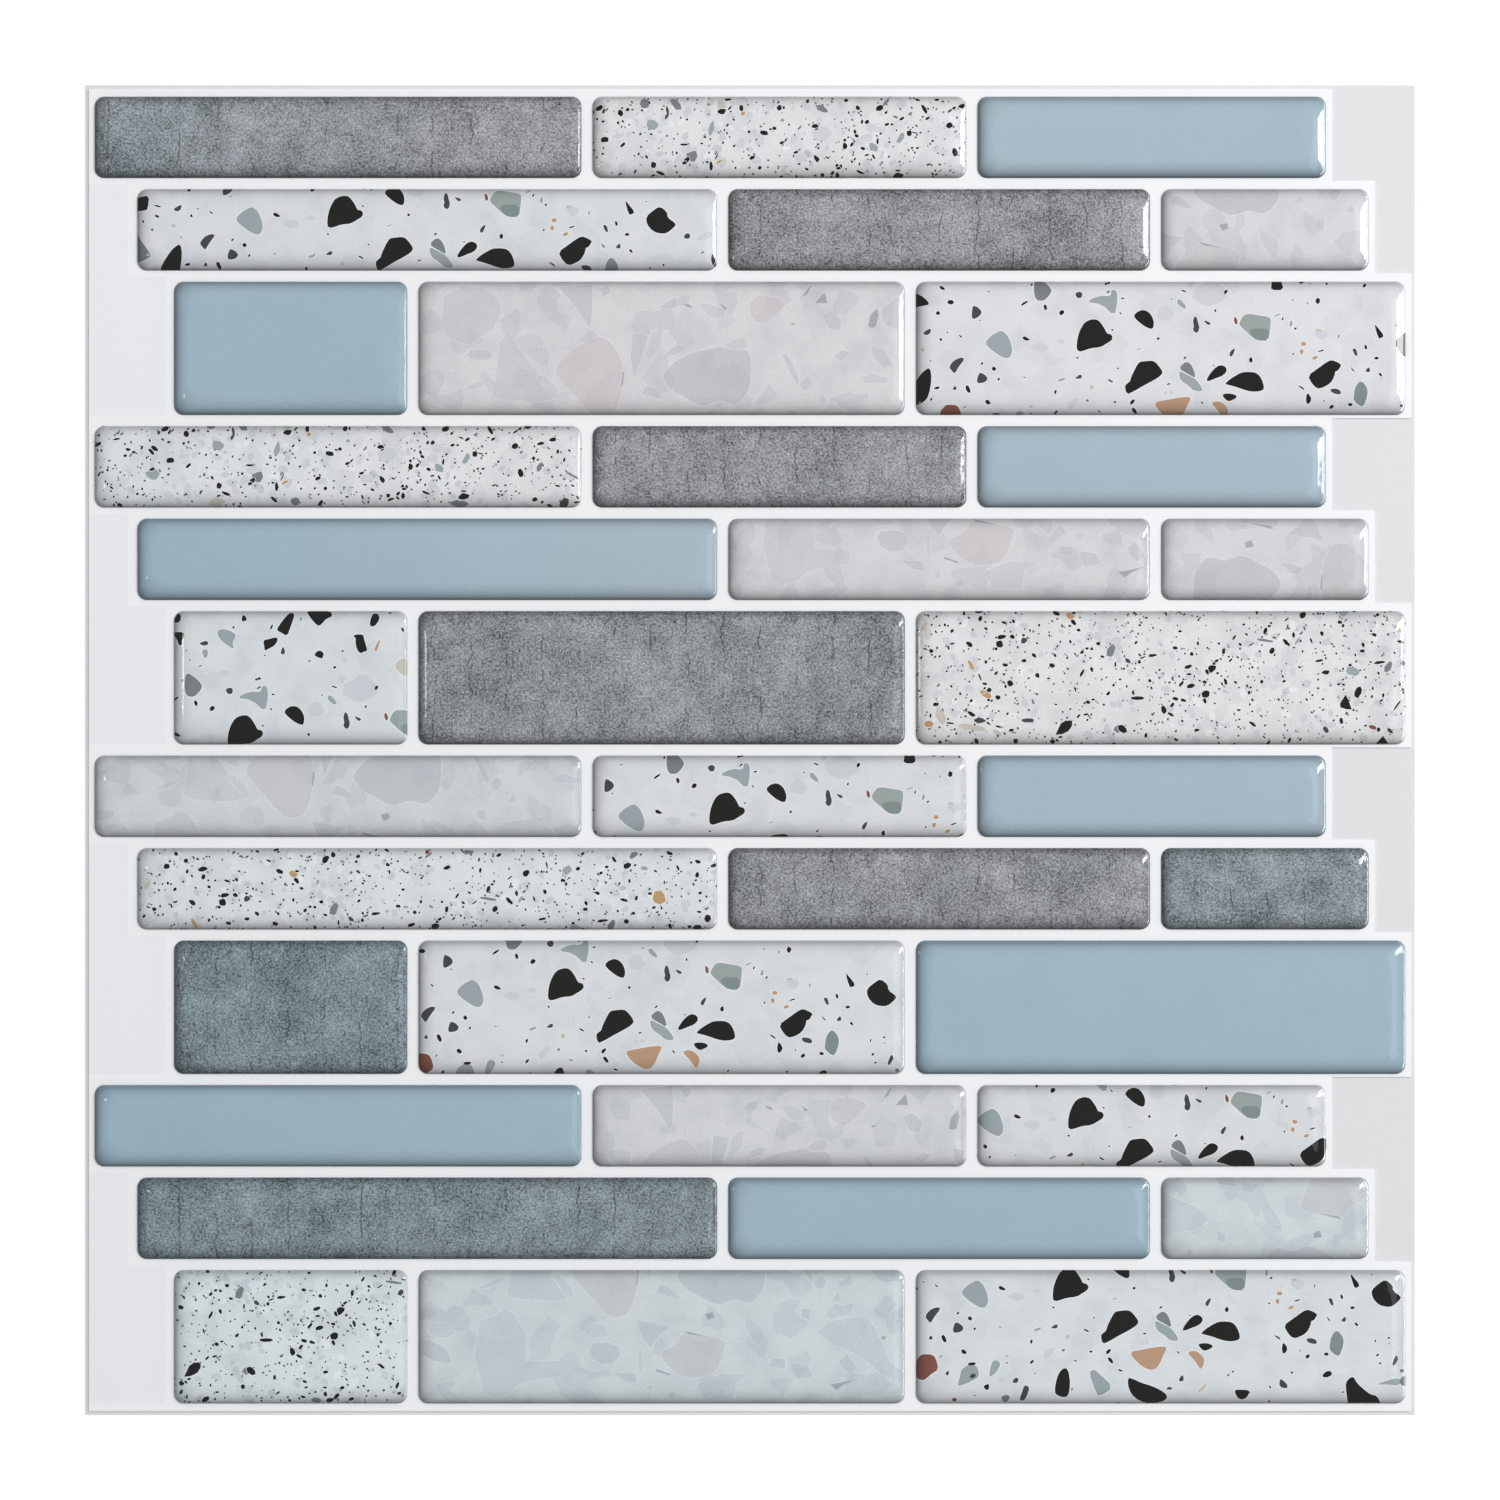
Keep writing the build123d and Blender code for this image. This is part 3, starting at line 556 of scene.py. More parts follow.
# The upper part of the speckle print
SPECKLE_UPPER: dict[Tone, tuple[Speck, ...]] = {
    Tone.HAZE: (
        (20.6, 11.6, 2.6, 1.0, 15), (21.0, 10.3, 2.1, 0.4, 25), (34.4, 6.2, 2.2, 1.3, 60),
        (36.2, 8.4, 2.0, 1.5, 40), (52.2, 6.0, 2.4, 1.5, 10), (81.0, 7.1, 1.7, 0.9, 80),
        (99.5, 8.8, 2.8, 0.6, 45), (19.5, 1.5, 1.8, 1.0, -40), (67.0, 12.1, 3.6, 2.8, 0),
        (62.3, 6.6, 2.8, 1.8, 0), (78.6, 13.4, 2.4, 1.9, 0), (52.6, 11.6, 3.4, 0.7, -20),
    ),
    Tone.PALE_GREY: (
        (13.5, 7.5, 2.8, 2.0, 0), (28.4, 14.1, 2.4, 2.0, -30), (42.0, 13.3, 3.0, 1.0, 80),
        (58.2, 15.2, 0.8, 0.7, 0), (79.1, 9.0, 1.9, 1.4, -60), (85.2, 11.0, 2.4, 1.1, 62),
    ),
    Tone.PALE_TAN: ((28.2, 1.2, 3.0, 1.8, 0), (64.1, 7.6, 0.9, 0.6, 0), (44.2, 18.7, 2.3, 1.5, -80)),
    Tone.GREY: (
        (5.7, 17.2, 1.1, 0.3, 75), (8.5, 11.9, 0.9, 0.3, 50), (37.5, 6.9, 2.2, 1.9, 45),
        (46.1, 1.4, 1.6, 1.5, 0), (62.1, 13.4, 1.2, 0.4, 50), (87.4, 16.7, 1.0, 0.4, 30),
        (83.4, 0.9, 3.6, 1.2, 0), (102.1, 9.3, 2.1, 0.9, 62), (109.5, 7.3, 3.0, 0.5, -30),
        (67.3, 17.8, 2.4, 1.2, -30), (26.7, 19.1, 2.2, 1.6, -60), (33.8, 18.9, 2.6, 1.4, -50),
        (81.9, 19.3, 2.2, 0.6, 50),
    ),
    Tone.ORANGE: ((49.2, 16.7, 0.9, 0.8, 40), (43.8, 5.7, 1.6, 0.5, 32)),
    Tone.CHARCOAL: (
        (14.9, 17.1, 0.8, 0.7, 80), (31.9, 17.3, 2.2, 0.5, -80), (31.7, 16.0, 1.2, 0.5, 60),
        (43.2, 7.0, 1.7, 0.3, 65), (107.7, 0.9, 2.3, 1.6, 50),
    ),
    Tone.BLACK: (
        (1.1, 16.5, 0.6, 0.5, 0), (0.9, 14.4, 1.5, 0.7, 30), (5.2, 15.6, 1.3, 0.4, 10),
        (6.4, 16.8, 0.9, 0.3, 45), (7.9, 13.2, 1.1, 0.6, -10), (9.2, 12.6, 0.8, 0.5, -10),
        (7.2, 11.8, 0.7, 0.6, 0), (13.2, 12.7, 1.6, 0.6, -50), (14.0, 13.4, 1.6, 0.8, -35),
        (16.3, 18.0, 1.6, 0.9, 30), (17.4, 17.3, 1.2, 0.6, 45), (18.0, 17.6, 0.9, 0.3, 50),
        (17.2, 14.9, 0.6, 0.5, 0), (21.2, 16.8, 1.5, 1.1, 100), (22.8, 17.6, 0.8, 0.7, 0),
        (20.6, 14.6, 0.6, 0.5, 100), (17.6, 10.7, 1.7, 1.1, -5), (21.7, 9.5, 1.4, 0.6, 40),
        (13.4, 8.7, 1.1, 0.6, 20), (1.2, 7.6, 1.1, 0.4, 50), (4.1, 4.5, 0.9, 0.4, -35),
        (11.1, 4.2, 0.6, 0.4, 100), (10.0, 3.1, 0.6, 0.5, 0), (11.4, 2.9, 0.8, 0.3, 30),
        (27.1, 6.8, 0.9, 0.5, -60), (28.7, 4.9, 1.2, 1.1, 90), (30.3, 3.1, 1.6, 0.7, -25),
        (28.6, 2.6, 1.0, 0.4, 15), (35.7, 9.6, 1.5, 0.4, 0), (34.0, 7.7, 0.6, 0.5, 90),
        (36.3, 6.0, 1.4, 0.9, 45), (35.8, 5.4, 0.9, 0.7, 45), (40.5, 11.3, 0.6, 0.5, 0),
        (44.3, 17.2, 1.7, 1.1, 15), (46.2, 18.0, 1.0, 0.4, 45), (48.8, 18.0, 1.2, 0.9, 100),
        (45.6, 14.0, 0.7, 0.4, 45), (50.6, 12.5, 0.6, 0.6, 0), (54.0, 12.3, 1.6, 0.9, -15),
        (55.5, 13.1, 0.6, 0.4, 0), (56.4, 13.3, 0.8, 0.7, 0), (41.9, 4.7, 1.7, 0.7, 92),
        (41.0, 5.6, 0.6, 0.4, 0), (41.3, 1.8, 1.5, 0.6, -40), (47.2, 9.3, 0.7, 0.4, 35),
        (51.3, 6.6, 1.2, 0.7, 25), (53.0, 4.3, 0.7, 0.7, 0), (51.9, 1.0, 1.5, 0.7, 45),
        (5.9, 0.5, 1.1, 0.7, -20), (4.5, 0.5, 0.7, 0.4, 90), (33.4, 0.2, 1.0, 0.5, 0),
        (57.5, 18.0, 1.2, 1.0, 90), (58.5, 18.1, 0.6, 0.6, 0), (58.9, 10.5, 1.4, 0.4, 50),
        (58.1, 10.0, 1.0, 0.6, 20), (61.3, 7.8, 1.1, 0.5, 12), (65.7, 13.8, 1.4, 0.9, 0),
        (66.0, 13.1, 0.8, 0.3, 20), (66.0, 6.4, 1.4, 0.9, -60), (68.5, 6.6, 0.9, 0.4, -25),
        (63.8, 4.0, 0.8, 0.5, -30), (58.0, 2.4, 0.7, 0.4, -15), (61.5, 2.3, 1.0, 0.4, -70),
        (67.4, 2.7, 0.8, 0.7, -30), (67.9, 1.8, 1.4, 0.5, 20), (70.7, 4.8, 0.8, 0.6, 90),
        (71.6, 4.6, 0.8, 0.6, 90), (71.1, 4.2, 1.0, 0.5, 0), (69.7, 3.1, 0.9, 0.6, 50),
        (70.8, 2.6, 1.2, 0.8, 90), (69.6, 2.1, 1.0, 0.4, -50), (72.5, 10.6, 0.7, 0.6, 0),
        (72.5, 9.3, 1.2, 0.9, 90), (74.1, 9.6, 1.0, 0.6, 60), (74.8, 12.5, 1.1, 0.5, -80),
        (75.2, 11.6, 0.9, 0.6, -20), (75.5, 18.0, 1.1, 0.8, -50), (76.2, 17.2, 0.6, 0.3, 0),
        (76.4, 14.8, 0.8, 0.5, 80), (77.6, 14.8, 0.9, 0.8, 30), (76.6, 8.7, 1.0, 0.6, -25),
        (77.5, 7.2, 0.9, 0.4, 10), (79.1, 6.8, 1.1, 0.4, -58), (80.0, 10.3, 1.2, 0.5, 88),
        (80.4, 18.0, 1.5, 1.1, 20), (81.9, 16.9, 0.6, 0.6, 0), (84.1, 15.9, 1.2, 0.3, -20),
        (85.5, 15.5, 1.0, 0.6, 30), (82.1, 14.2, 0.9, 0.5, 22), (87.2, 12.2, 1.2, 1.1, 0),
        (88.5, 12.3, 1.1, 0.3, -15), (90.7, 17.7, 1.9, 0.7, -62), (91.4, 15.6, 1.0, 0.5, 28),
        (87.9, 8.8, 0.6, 0.4, 20), (89.1, 8.8, 0.6, 0.5, 0), (84.7, 2.5, 2.1, 1.2, 12),
        (84.7, 3.7, 1.1, 0.4, -5), (76.0, 3.3, 1.9, 0.5, -24), (96.5, 14.0, 1.3, 1.2, 15),
        (96.6, 17.4, 1.4, 0.4, 33), (97.5, 18.0, 0.8, 0.5, 40), (100.7, 11.2, 0.9, 0.7, 80),
        (97.7, 7.9, 1.9, 1.1, -75), (102.3, 14.6, 1.4, 0.7, 17), (105.1, 15.5, 1.4, 0.8, 5),
        (106.2, 12.7, 0.9, 0.5, 85), (107.7, 10.9, 1.1, 0.4, 72), (106.1, 4.9, 1.0, 0.4, -12),
        (101.0, 1.8, 1.1, 0.8, 25), (102.6, 1.2, 0.8, 0.5, 30), (104.4, 0.4, 1.3, 0.6, -20),
        (109.6, 5.0, 0.7, 0.4, -30), (109.6, 2.8, 0.8, 0.3, -10), (110.7, 2.3, 0.8, 0.4, -50),
        (110.5, 1.2, 1.2, 0.4, 10), (45.7, 20.0, 1.6, 0.5, 5), (64.0, 19.6, 0.9, 0.6, 60),
        (72.8, 19.8, 0.8, 0.7, 20), (89.1, 19.9, 1.0, 0.5, -10), (93.6, 19.9, 1.0, 0.5, -5),
        (99.3, 18.5, 1.4, 0.9, 20),
    ),
}

# The three largest chips of the speckle print's lower part
SPECKLE_CHIPS: tuple[Outline, ...] = (
    ((31.9, 2.2), (32.5, 3.5), (33.1, 4.8), (34.2, 5.5), (35.7, 5.4), (35.7, 4.3), (34.9, 3.1),
     (33.5, 2.4)),
    ((98.3, 11.4), (98.9, 10.3), (99.7, 8.0), (98.4, 8.1), (97.1, 8.5), (97.0, 9.4), (97.6, 10.3)),
    ((105.3, 0.2), (106.9, 2.0), (108.2, 0.2)),
)


@dataclass(frozen=True)
class SpecklePrint:
    """The fine terrazzo: black, grey and orange specks in a pale ground.

    Attributes:
        upper_start: How far above the lower part the upper part of the master lies, in millimetres.
        patches: How many faint pale patches each part holds.
        patch_size: The least and greatest length of a patch.
        grit: How many of the finest specks each part holds.
        grit_size: The least and greatest length of those.
        slimness: Their width and that of the patches, as a share of their length.
        across: Where each part starts and ends across.
        up: Where each part starts and ends upwards.
        swell: How much larger the listed specks are drawn than they are listed.
        halo: How far the pale edge of a dark speck reaches.
        seed: Where the unevenness of the outlines comes from.
    """

    upper_start: float = 60.0
    patches: int = 330
    patch_size: Point = (0.9, 2.9)
    grit: int = 1200
    grit_size: Point = (0.3, 0.75)
    slimness: float = 0.7
    across: Point = (-1.0, 133.0)
    up: Point = (-5.0, 35.0)
    swell: float = 1.28
    halo: float = 0.12
    seed: int = 5

    def chips(self) -> Iterator[Chip]:
        """Yields the specks of the whole master: the faint patches, the finest specks, then the rest."""
        draw = random.Random(self.seed)
        patches = (Tone.HAZE, Tone.HAZE, Tone.SHARD, Tone.MIST, Tone.HALO)
        grits = (Tone.BLACK, Tone.BLACK, Tone.BLACK, Tone.CHARCOAL, Tone.GREY)
        for table, lift in ((SPECKLE_LOWER, 0.0), (SPECKLE_UPPER, self.upper_start)):
            for count, tones, sizes in (
                (self.patches, patches, self.patch_size),
                (self.grit, grits, self.grit_size),
            ):
                for _ in range(count):
                    x = draw.uniform(*self.across)
                    y = draw.uniform(*self.up) + lift
                    size = draw.uniform(*sizes)
                    outline = pebble(x, y, size, self.slimness * size, draw.uniform(0, 180), draw)
                    yield Chip(outline, draw.choice(tones))
            for tone, specks in table.items():
                for x, y, length, width, turn in specks:
                    length, width = length * self.swell, width * self.swell
                    speck = Chip(pebble(x, y + lift, length, width, turn, draw), tone)
                    if tone in (Tone.BLACK, Tone.BROWN, Tone.ORANGE):
                        yield speck.grown(self.halo, Tone.HALO)
                    yield speck
        for outline in SPECKLE_CHIPS:
            yield Chip(outline, Tone.BLACK)


# The shards of the quartz print
QUARTZ_SHARDS: dict[Tone, tuple[Outline, ...]] = {
    Tone.MIST: (
        ((5.4, 20.1), (6.6, 18.0), (9.0, 16.8), (12.0, 15.9), (14.2, 17.7), (17.2, 19.5), (19.3, 23.4),
         (18.1, 27.0), (14.5, 28.9), (10.2, 29.5), (6.0, 27.0)),
        ((18.1, 10.2), (18.7, 16.2), (20.8, 19.2), (22.9, 15.0), (26.5, 10.8), (30.1, 5.4), (31.3, 3.6),
         (27.1, 3.0), (20.5, 3.3), (17.2, 4.2)),
        ((25.0, 15.0), (28.5, 15.6), (30.1, 14.5), (29.8, 10.8), (27.5, 11.8), (25.3, 13.2)),
        ((27.1, 8.7), (28.9, 9.0), (31.3, 6.6), (32.5, 4.2), (31.0, 3.6), (28.9, 6.6)),
        ((53.6, 18.6), (56.0, 19.8), (55.7, 16.2), (53.0, 12.6), (52.1, 13.2)),
        ((64.2, 25.5), (66.9, 25.2), (70.5, 24.0), (69.9, 22.2), (66.9, 22.2), (65.4, 23.7)),
        ((101.2, 8.4), (104.2, 9.3), (107.8, 8.1), (107.2, 7.2), (102.4, 7.2)),
        ((10.8, 6.0), (13.0, 7.2), (16.5, 8.4), (16.9, 8.1), (14.2, 6.3), (11.4, 5.7)),
        ((16.6, 1.2), (19.0, -0.6), (21.4, -4.8), (21.5, -10.8), (25.6, -11.1), (29.2, -10.8),
         (29.8, -12.6), (29.2, -14.4), (23.8, -15.0), (19.6, -16.2), (17.8, -18.0), (14.2, -19.2),
         (11.8, -18.0), (11.2, -15.6), (10.3, -12.0), (9.7, -10.2), (10.9, -1.8), (14.2, -0.6)),
        ((-0.3, -2.4), (3.3, -2.1), (5.4, -4.5), (3.3, -5.5), (0.9, -5.5), (-0.6, -4.2)),
        ((34.7, -4.2), (36.5, -2.4), (39.5, -2.7), (39.8, -5.1), (36.5, -5.5)),
        ((60.6, -16.2), (66.0, -13.8), (72.6, -14.1), (69.6, -15.6), (69.0, -19.8), (62.4, -19.8)),
        ((71.4, -0.6), (75.6, -3.6), (76.2, -6.0), (75.0, -7.8), (72.9, -5.4), (71.7, -3.0)),
        ((90.7, -1.8), (99.1, -0.6), (101.5, -3.6), (104.5, -10.8), (108.1, -13.8), (108.1, -16.2),
         (102.7, -13.8), (97.9, -9.6), (91.3, -6.9), (88.3, -4.2)),
        ((47.2, -7.8), (48.0, -7.9), (48.1, -13.0), (47.3, -13.2)),
    ),
    Tone.SHARD: (
        ((32.5, 28.9), (33.7, 29.2), (39.8, 29.8), (39.9, 24.6), (39.5, 19.8), (38.6, 20.7),
         (36.7, 24.0), (34.6, 26.4)),
        ((11.1, 13.5), (12.0, 14.7), (16.0, 14.9), (17.2, 13.8), (16.3, 12.6), (13.0, 12.5)),
        ((49.1, 18.6), (52.7, 18.0), (52.1, 15.6), (50.3, 10.8), (49.5, 8.4), (48.7, 12.6)),
        ((51.2, 4.8), (52.1, 6.6), (54.2, 6.0), (56.3, 3.6), (54.2, 3.9)),
        ((56.3, 13.2), (57.8, 15.0), (59.6, 15.9), (61.4, 15.6), (60.2, 14.1), (57.8, 13.5)),
        ((55.4, 24.5), (56.9, 25.8), (59.3, 26.7), (59.0, 24.3)),
        ((92.5, 22.8), (94.6, 23.7), (97.0, 21.6), (96.4, 19.2), (94.0, 19.8)),
        ((106.0, 24.0), (109.9, 27.0), (109.9, 19.5), (107.2, 20.4), (106.3, 22.2)),
        ((83.4, 13.5), (84.3, 13.9), (85.8, 11.4), (87.3, 7.8), (86.7, 6.9), (84.9, 10.2)),
        ((87.3, 7.2), (88.9, 8.7), (90.4, 7.5), (89.2, 5.7), (88.0, 5.7)),
        ((95.2, 13.2), (97.0, 14.7), (99.1, 14.1), (97.0, 12.3)),
        ((96.4, 10.2), (98.8, 11.7), (97.9, 10.2)),
        ((103.9, 15.6), (106.6, 15.0), (108.7, 11.4), (106.6, 10.8), (104.2, 13.2)),
        ((91.6, 3.0), (92.8, 4.8), (93.4, 2.7)),
        ((41.6, 28.9), (43.7, 29.5), (44.0, 28.0), (42.5, 27.0)),
        ((-0.6, -6.0), (2.7, -7.8), (4.2, -10.2), (4.2, -11.5), (0.3, -10.8), (-2.1, -9.6), (-2.4, -6.6)),
        ((-2.7, 1.2), (1.5, 0.9), (1.2, -0.6), (-2.7, -1.8)),
        ((35.9, -8.4), (36.8, -6.9), (40.1, -6.6), (42.5, -7.5), (43.1, -9.6), (41.3, -11.4),
         (38.9, -11.5), (36.8, -10.5)),
        ((46.7, -1.5), (54.5, -3.0), (52.1, -4.8), (50.0, -7.8), (47.9, -5.1)),
        ((84.7, 1.2), (86.5, 0.9), (86.2, -1.5), (84.4, -0.6)),
        ((93.1, -10.8), (94.9, -9.3), (97.3, -12.6), (95.5, -13.8), (93.7, -12.3)),
        ((76.8, -12.0), (78.0, -10.2), (80.7, -10.5), (80.7, -12.6)),
        ((81.9, -11.4), (85.9, -12.0), (87.1, -14.4), (83.4, -15.0)),
        ((41.3, -13.5), (46.4, -13.8), (46.7, -15.9), (44.3, -15.6)),
        ((49.0, -16.6), (50.4, -16.2), (50.2, -17.4), (49.2, -17.5)),
        ((53.8, -18.2), (55.6, -17.8), (55.9, -19.2), (54.2, -19.6)),
    ),
    Tone.ROSE: (
        ((31.3, 10.0), (32.8, 12.6), (36.1, 15.3), (39.8, 17.3), (42.5, 17.8), (44.9, 15.6),
         (46.4, 13.2), (46.9, 9.9), (46.7, 7.2), (46.6, 4.7), (45.5, 1.4), (44.3, -0.4), (41.9, -0.9),
         (39.8, -0.1), (37.7, 2.3), (35.3, 5.0), (32.8, 7.7)),
        ((75.6, 25.2), (78.3, 27.7), (84.9, 25.8), (82.5, 23.4), (79.5, 20.7), (76.5, 21.6)),
        ((51.8, -9.0), (56.0, -7.2), (57.5, -4.2), (60.0, -4.5), (67.2, -6.0), (66.9, -8.4),
         (64.8, -13.8), (60.6, -14.7), (56.9, -14.4), (53.9, -12.0)),
        ((69.9, 15.6), (72.3, 17.1), (75.0, 17.9), (75.3, 15.0), (72.0, 14.6)),
    ),
    Tone.DUSK: (
        ((56.0, 8.5), (56.9, 10.2), (59.0, 12.3), (62.7, 14.1), (66.3, 14.9), (69.9, 15.6),
         (72.0, 14.6), (75.3, 15.0), (76.2, 12.6), (76.2, 9.6), (76.0, 6.6), (75.3, 4.8), (73.2, 2.5),
         (71.1, 2.7), (69.3, 3.3), (67.5, 2.8), (65.7, 2.0), (63.3, 2.7), (60.8, 4.2), (58.7, 5.1),
         (57.2, 6.6)),
    ),
    Tone.SLIVER: (
        ((60.8, 25.4), (62.3, 25.1), (62.8, 24.3), (61.7, 24.6)),
        ((69.0, 25.5), (70.8, 24.3), (70.2, 24.0)),
        ((86.7, 26.1), (89.2, 27.7), (90.1, 29.8), (89.2, 28.9), (88.0, 27.0)),
        ((90.8, 25.5), (93.1, 28.0), (93.7, 25.5)),
        ((103.0, 20.1), (103.6, 22.8), (105.1, 24.3), (105.4, 22.8), (104.8, 20.1), (103.9, 19.8)),
        ((62.4, 0.0), (64.2, 0.3), (64.5, -0.9), (63.0, -1.5)),
        ((57.8, -4.0), (60.0, -4.5), (63.0, -5.4), (60.0, -4.9), (58.8, -4.8)),
        ((91.0, -16.2), (93.1, -15.9), (97.3, -14.9), (94.3, -16.2), (92.5, -17.5)),
        ((46.9, 9.9), (47.2, 9.7), (46.9, 6.5), (46.6, 6.6)),
        ((102.7, -5.3), (103.8, -5.2), (103.7, -5.9), (102.8, -5.9)),
        ((51.2, -12.7), (54.5, -13.9), (54.4, -14.2), (51.3, -13.2)),
        ((85.3, 20.8), (86.3, 20.9), (86.2, 20.5), (85.4, 20.4)),
    ),
}


@dataclass(frozen=True)
class QuartzPrint:
    """The quartz: large translucent shards, each with a thin pale edge, in a cloudy pale ground.

    Attributes:
        vein: How far a shard's pale edge reaches, in millimetres.
    """

    vein: float = 0.3

    def chips(self) -> Iterator[Chip]:
        """Yields the shards of the whole master, each above its pale edge."""
        for tone, outlines in QUARTZ_SHARDS.items():
            for outline in outlines:
                shard = Chip(outline, tone)
                if tone in (Tone.ROSE, Tone.DUSK):
                    shard = shard.eased()
                if tone is not Tone.SLIVER:
                    yield shard.grown(self.vein, Tone.VEIN)
                yield shard


@dataclass(frozen=True)
class Cut:
    """What one tile shows.

    Attributes:
        finish: Its print.
        crop: The place in the print's master that lies at the tile's lower left corner.
        warmth: Where the print stands between its cool and its warm tone, from 0 to 1, at the
            tile's left end and at its right end.
        turned: Whether the print lies turned half around.
    """

    finish: Finish
    crop: Point = (0.0, 0.0)
    warmth: Point = (0.5, 0.5)
    turned: bool = False


# The left, middle and right tile of each row, from the top
SHEET: tuple[tuple[Cut, Cut, Cut], ...] = (
    (
        Cut(Finish.SLATE, warmth=(0.5, 1.0)),
        Cut(Finish.SPECKLE, (14.7, 62.1), (0.95, 0.95)),
        Cut(Finish.BLUE, warmth=(0.75, 0.5)),
    ),
    (
        Cut(Finish.TERRAZZO, (-6.9, 4.8), (0.8, 0.8)),
        Cut(Finish.SLATE, warmth=(1.0, 1.0)),
        Cut(Finish.QUARTZ, (49.2, -10.4), (0.8, 0.8)),
    ),
    (
        Cut(Finish.BLUE, warmth=(0.35, 0.35)),
        Cut(Finish.QUARTZ, (0.0, 0.0), (1.0, 1.0)),
        Cut(Finish.TERRAZZO, (0.0, 0.0), (1.0, 1.0)),
    ),
    (
        Cut(Finish.SPECKLE, (0.0, 60.0), (0.5, 0.95)),
        Cut(Finish.SLATE, warmth=(0.9, 0.9)),
        Cut(Finish.BLUE, warmth=(0.7, 0.7)),
    ),
    (
        Cut(Finish.BLUE, warmth=(0.15, 0.9)),
        Cut(Finish.QUARTZ, (1.8, -22.6), (0.9, 0.9)),
        Cut(Finish.QUARTZ, (83.5, 12.2), (0.8, 0.8), turned=True),
    ),
    (
        Cut(Finish.TERRAZZO, (24.4, 15.1), (0.6, 0.6)),
        Cut(Finish.SLATE, warmth=(0.75, 0.75)),
        Cut(Finish.SPECKLE, (0.0, 0.0), (1.0, 1.0)),
    ),
    (
        Cut(Finish.QUARTZ, (-3.3, -5.2), (0.4, 0.4)),
        Cut(Finish.TERRAZZO, (10.0, 11.6), (0.8, 0.8)),
        Cut(Finish.BLUE, warmth=(0.6, 0.6)),
    ),
    (
        Cut(Finish.SPECKLE, (-0.6, 16.7), (0.5, 0.6)),
        Cut(Finish.SLATE, warmth=(0.85, 0.85)),
        Cut(Finish.SLATE, warmth=(0.5, 0.5)),
    ),
    (
        Cut(Finish.SLATE, warmth=(0.15, 0.15)),
        Cut(Finish.TERRAZZO, (7.0, -2.5), (0.7, 0.7)),
        Cut(Finish.BLUE, warmth=(0.3, 0.3)),
    ),
    (
        Cut(Finish.BLUE, warmth=(0.05, 0.3)),
        Cut(Finish.QUARTZ, (21.4, 11.3), (0.6, 0.6)),
        Cut(Finish.TERRAZZO, (16.1, 5.8), (0.8, 0.8)),
    ),
    (
        Cut(Finish.SLATE, warmth=(0.15, 0.3)),
        Cut(Finish.BLUE, warmth=(0.3, 0.3)),
        Cut(Finish.QUARTZ, (99.1, 5.2), (0.1, 0.1), turned=True),
    ),
    (
        Cut(Finish.SPECKLE, (29.4, -4.1), (0.0, 0.25)),
        Cut(Finish.QUARTZ, (-3.3, -20.8), (0.0, 0.0)),
        Cut(Finish.TERRAZZO, (5.5, -9.2), (0.6, 0.6)),
    ),
)

PRINTS = {
    Finish.TERRAZZO: TerrazzoPrint(),
    Finish.SPECKLE: SpecklePrint(),
    Finish.QUARTZ: QuartzPrint(),
}


@dataclass(frozen=True)
class EdgeShade:
    """Painted shade on a print towards one edge of its tile, put into the colour in place of the gel's
    refraction and the light's direction.

    Attributes:
        outward: The direction of that edge from the tile's middle.
        depth: How much light the shade would take at the edge itself.
        fall: The distance over which the shade falls to about a third, in millimetres.
        most: The most light that it takes anywhere.
    """

    outward: Point
    depth: float
    fall: float
    most: float

    def taken(self, inset: float) -> float:
        """Returns the share of its light that the print loses at an inset from the edge."""
        return min(self.depth * math.exp(-inset / self.fall), self.most)


# Painted shade at the gel tiles' rims: deepest on the left and bottom, which face away from the light, and
# slight on the right.
RIM_SHADES = (
    EdgeShade((-1.0, 0.0), 0.96, 1.05, 0.62),
    EdgeShade((1.0, 0.0), 0.25, 1.20, 0.20),
    EdgeShade((0.0, 1.0), 0.78, 1.05, 0.46),
    EdgeShade((0.0, -1.0), 0.82, 1.35, 0.76),
)


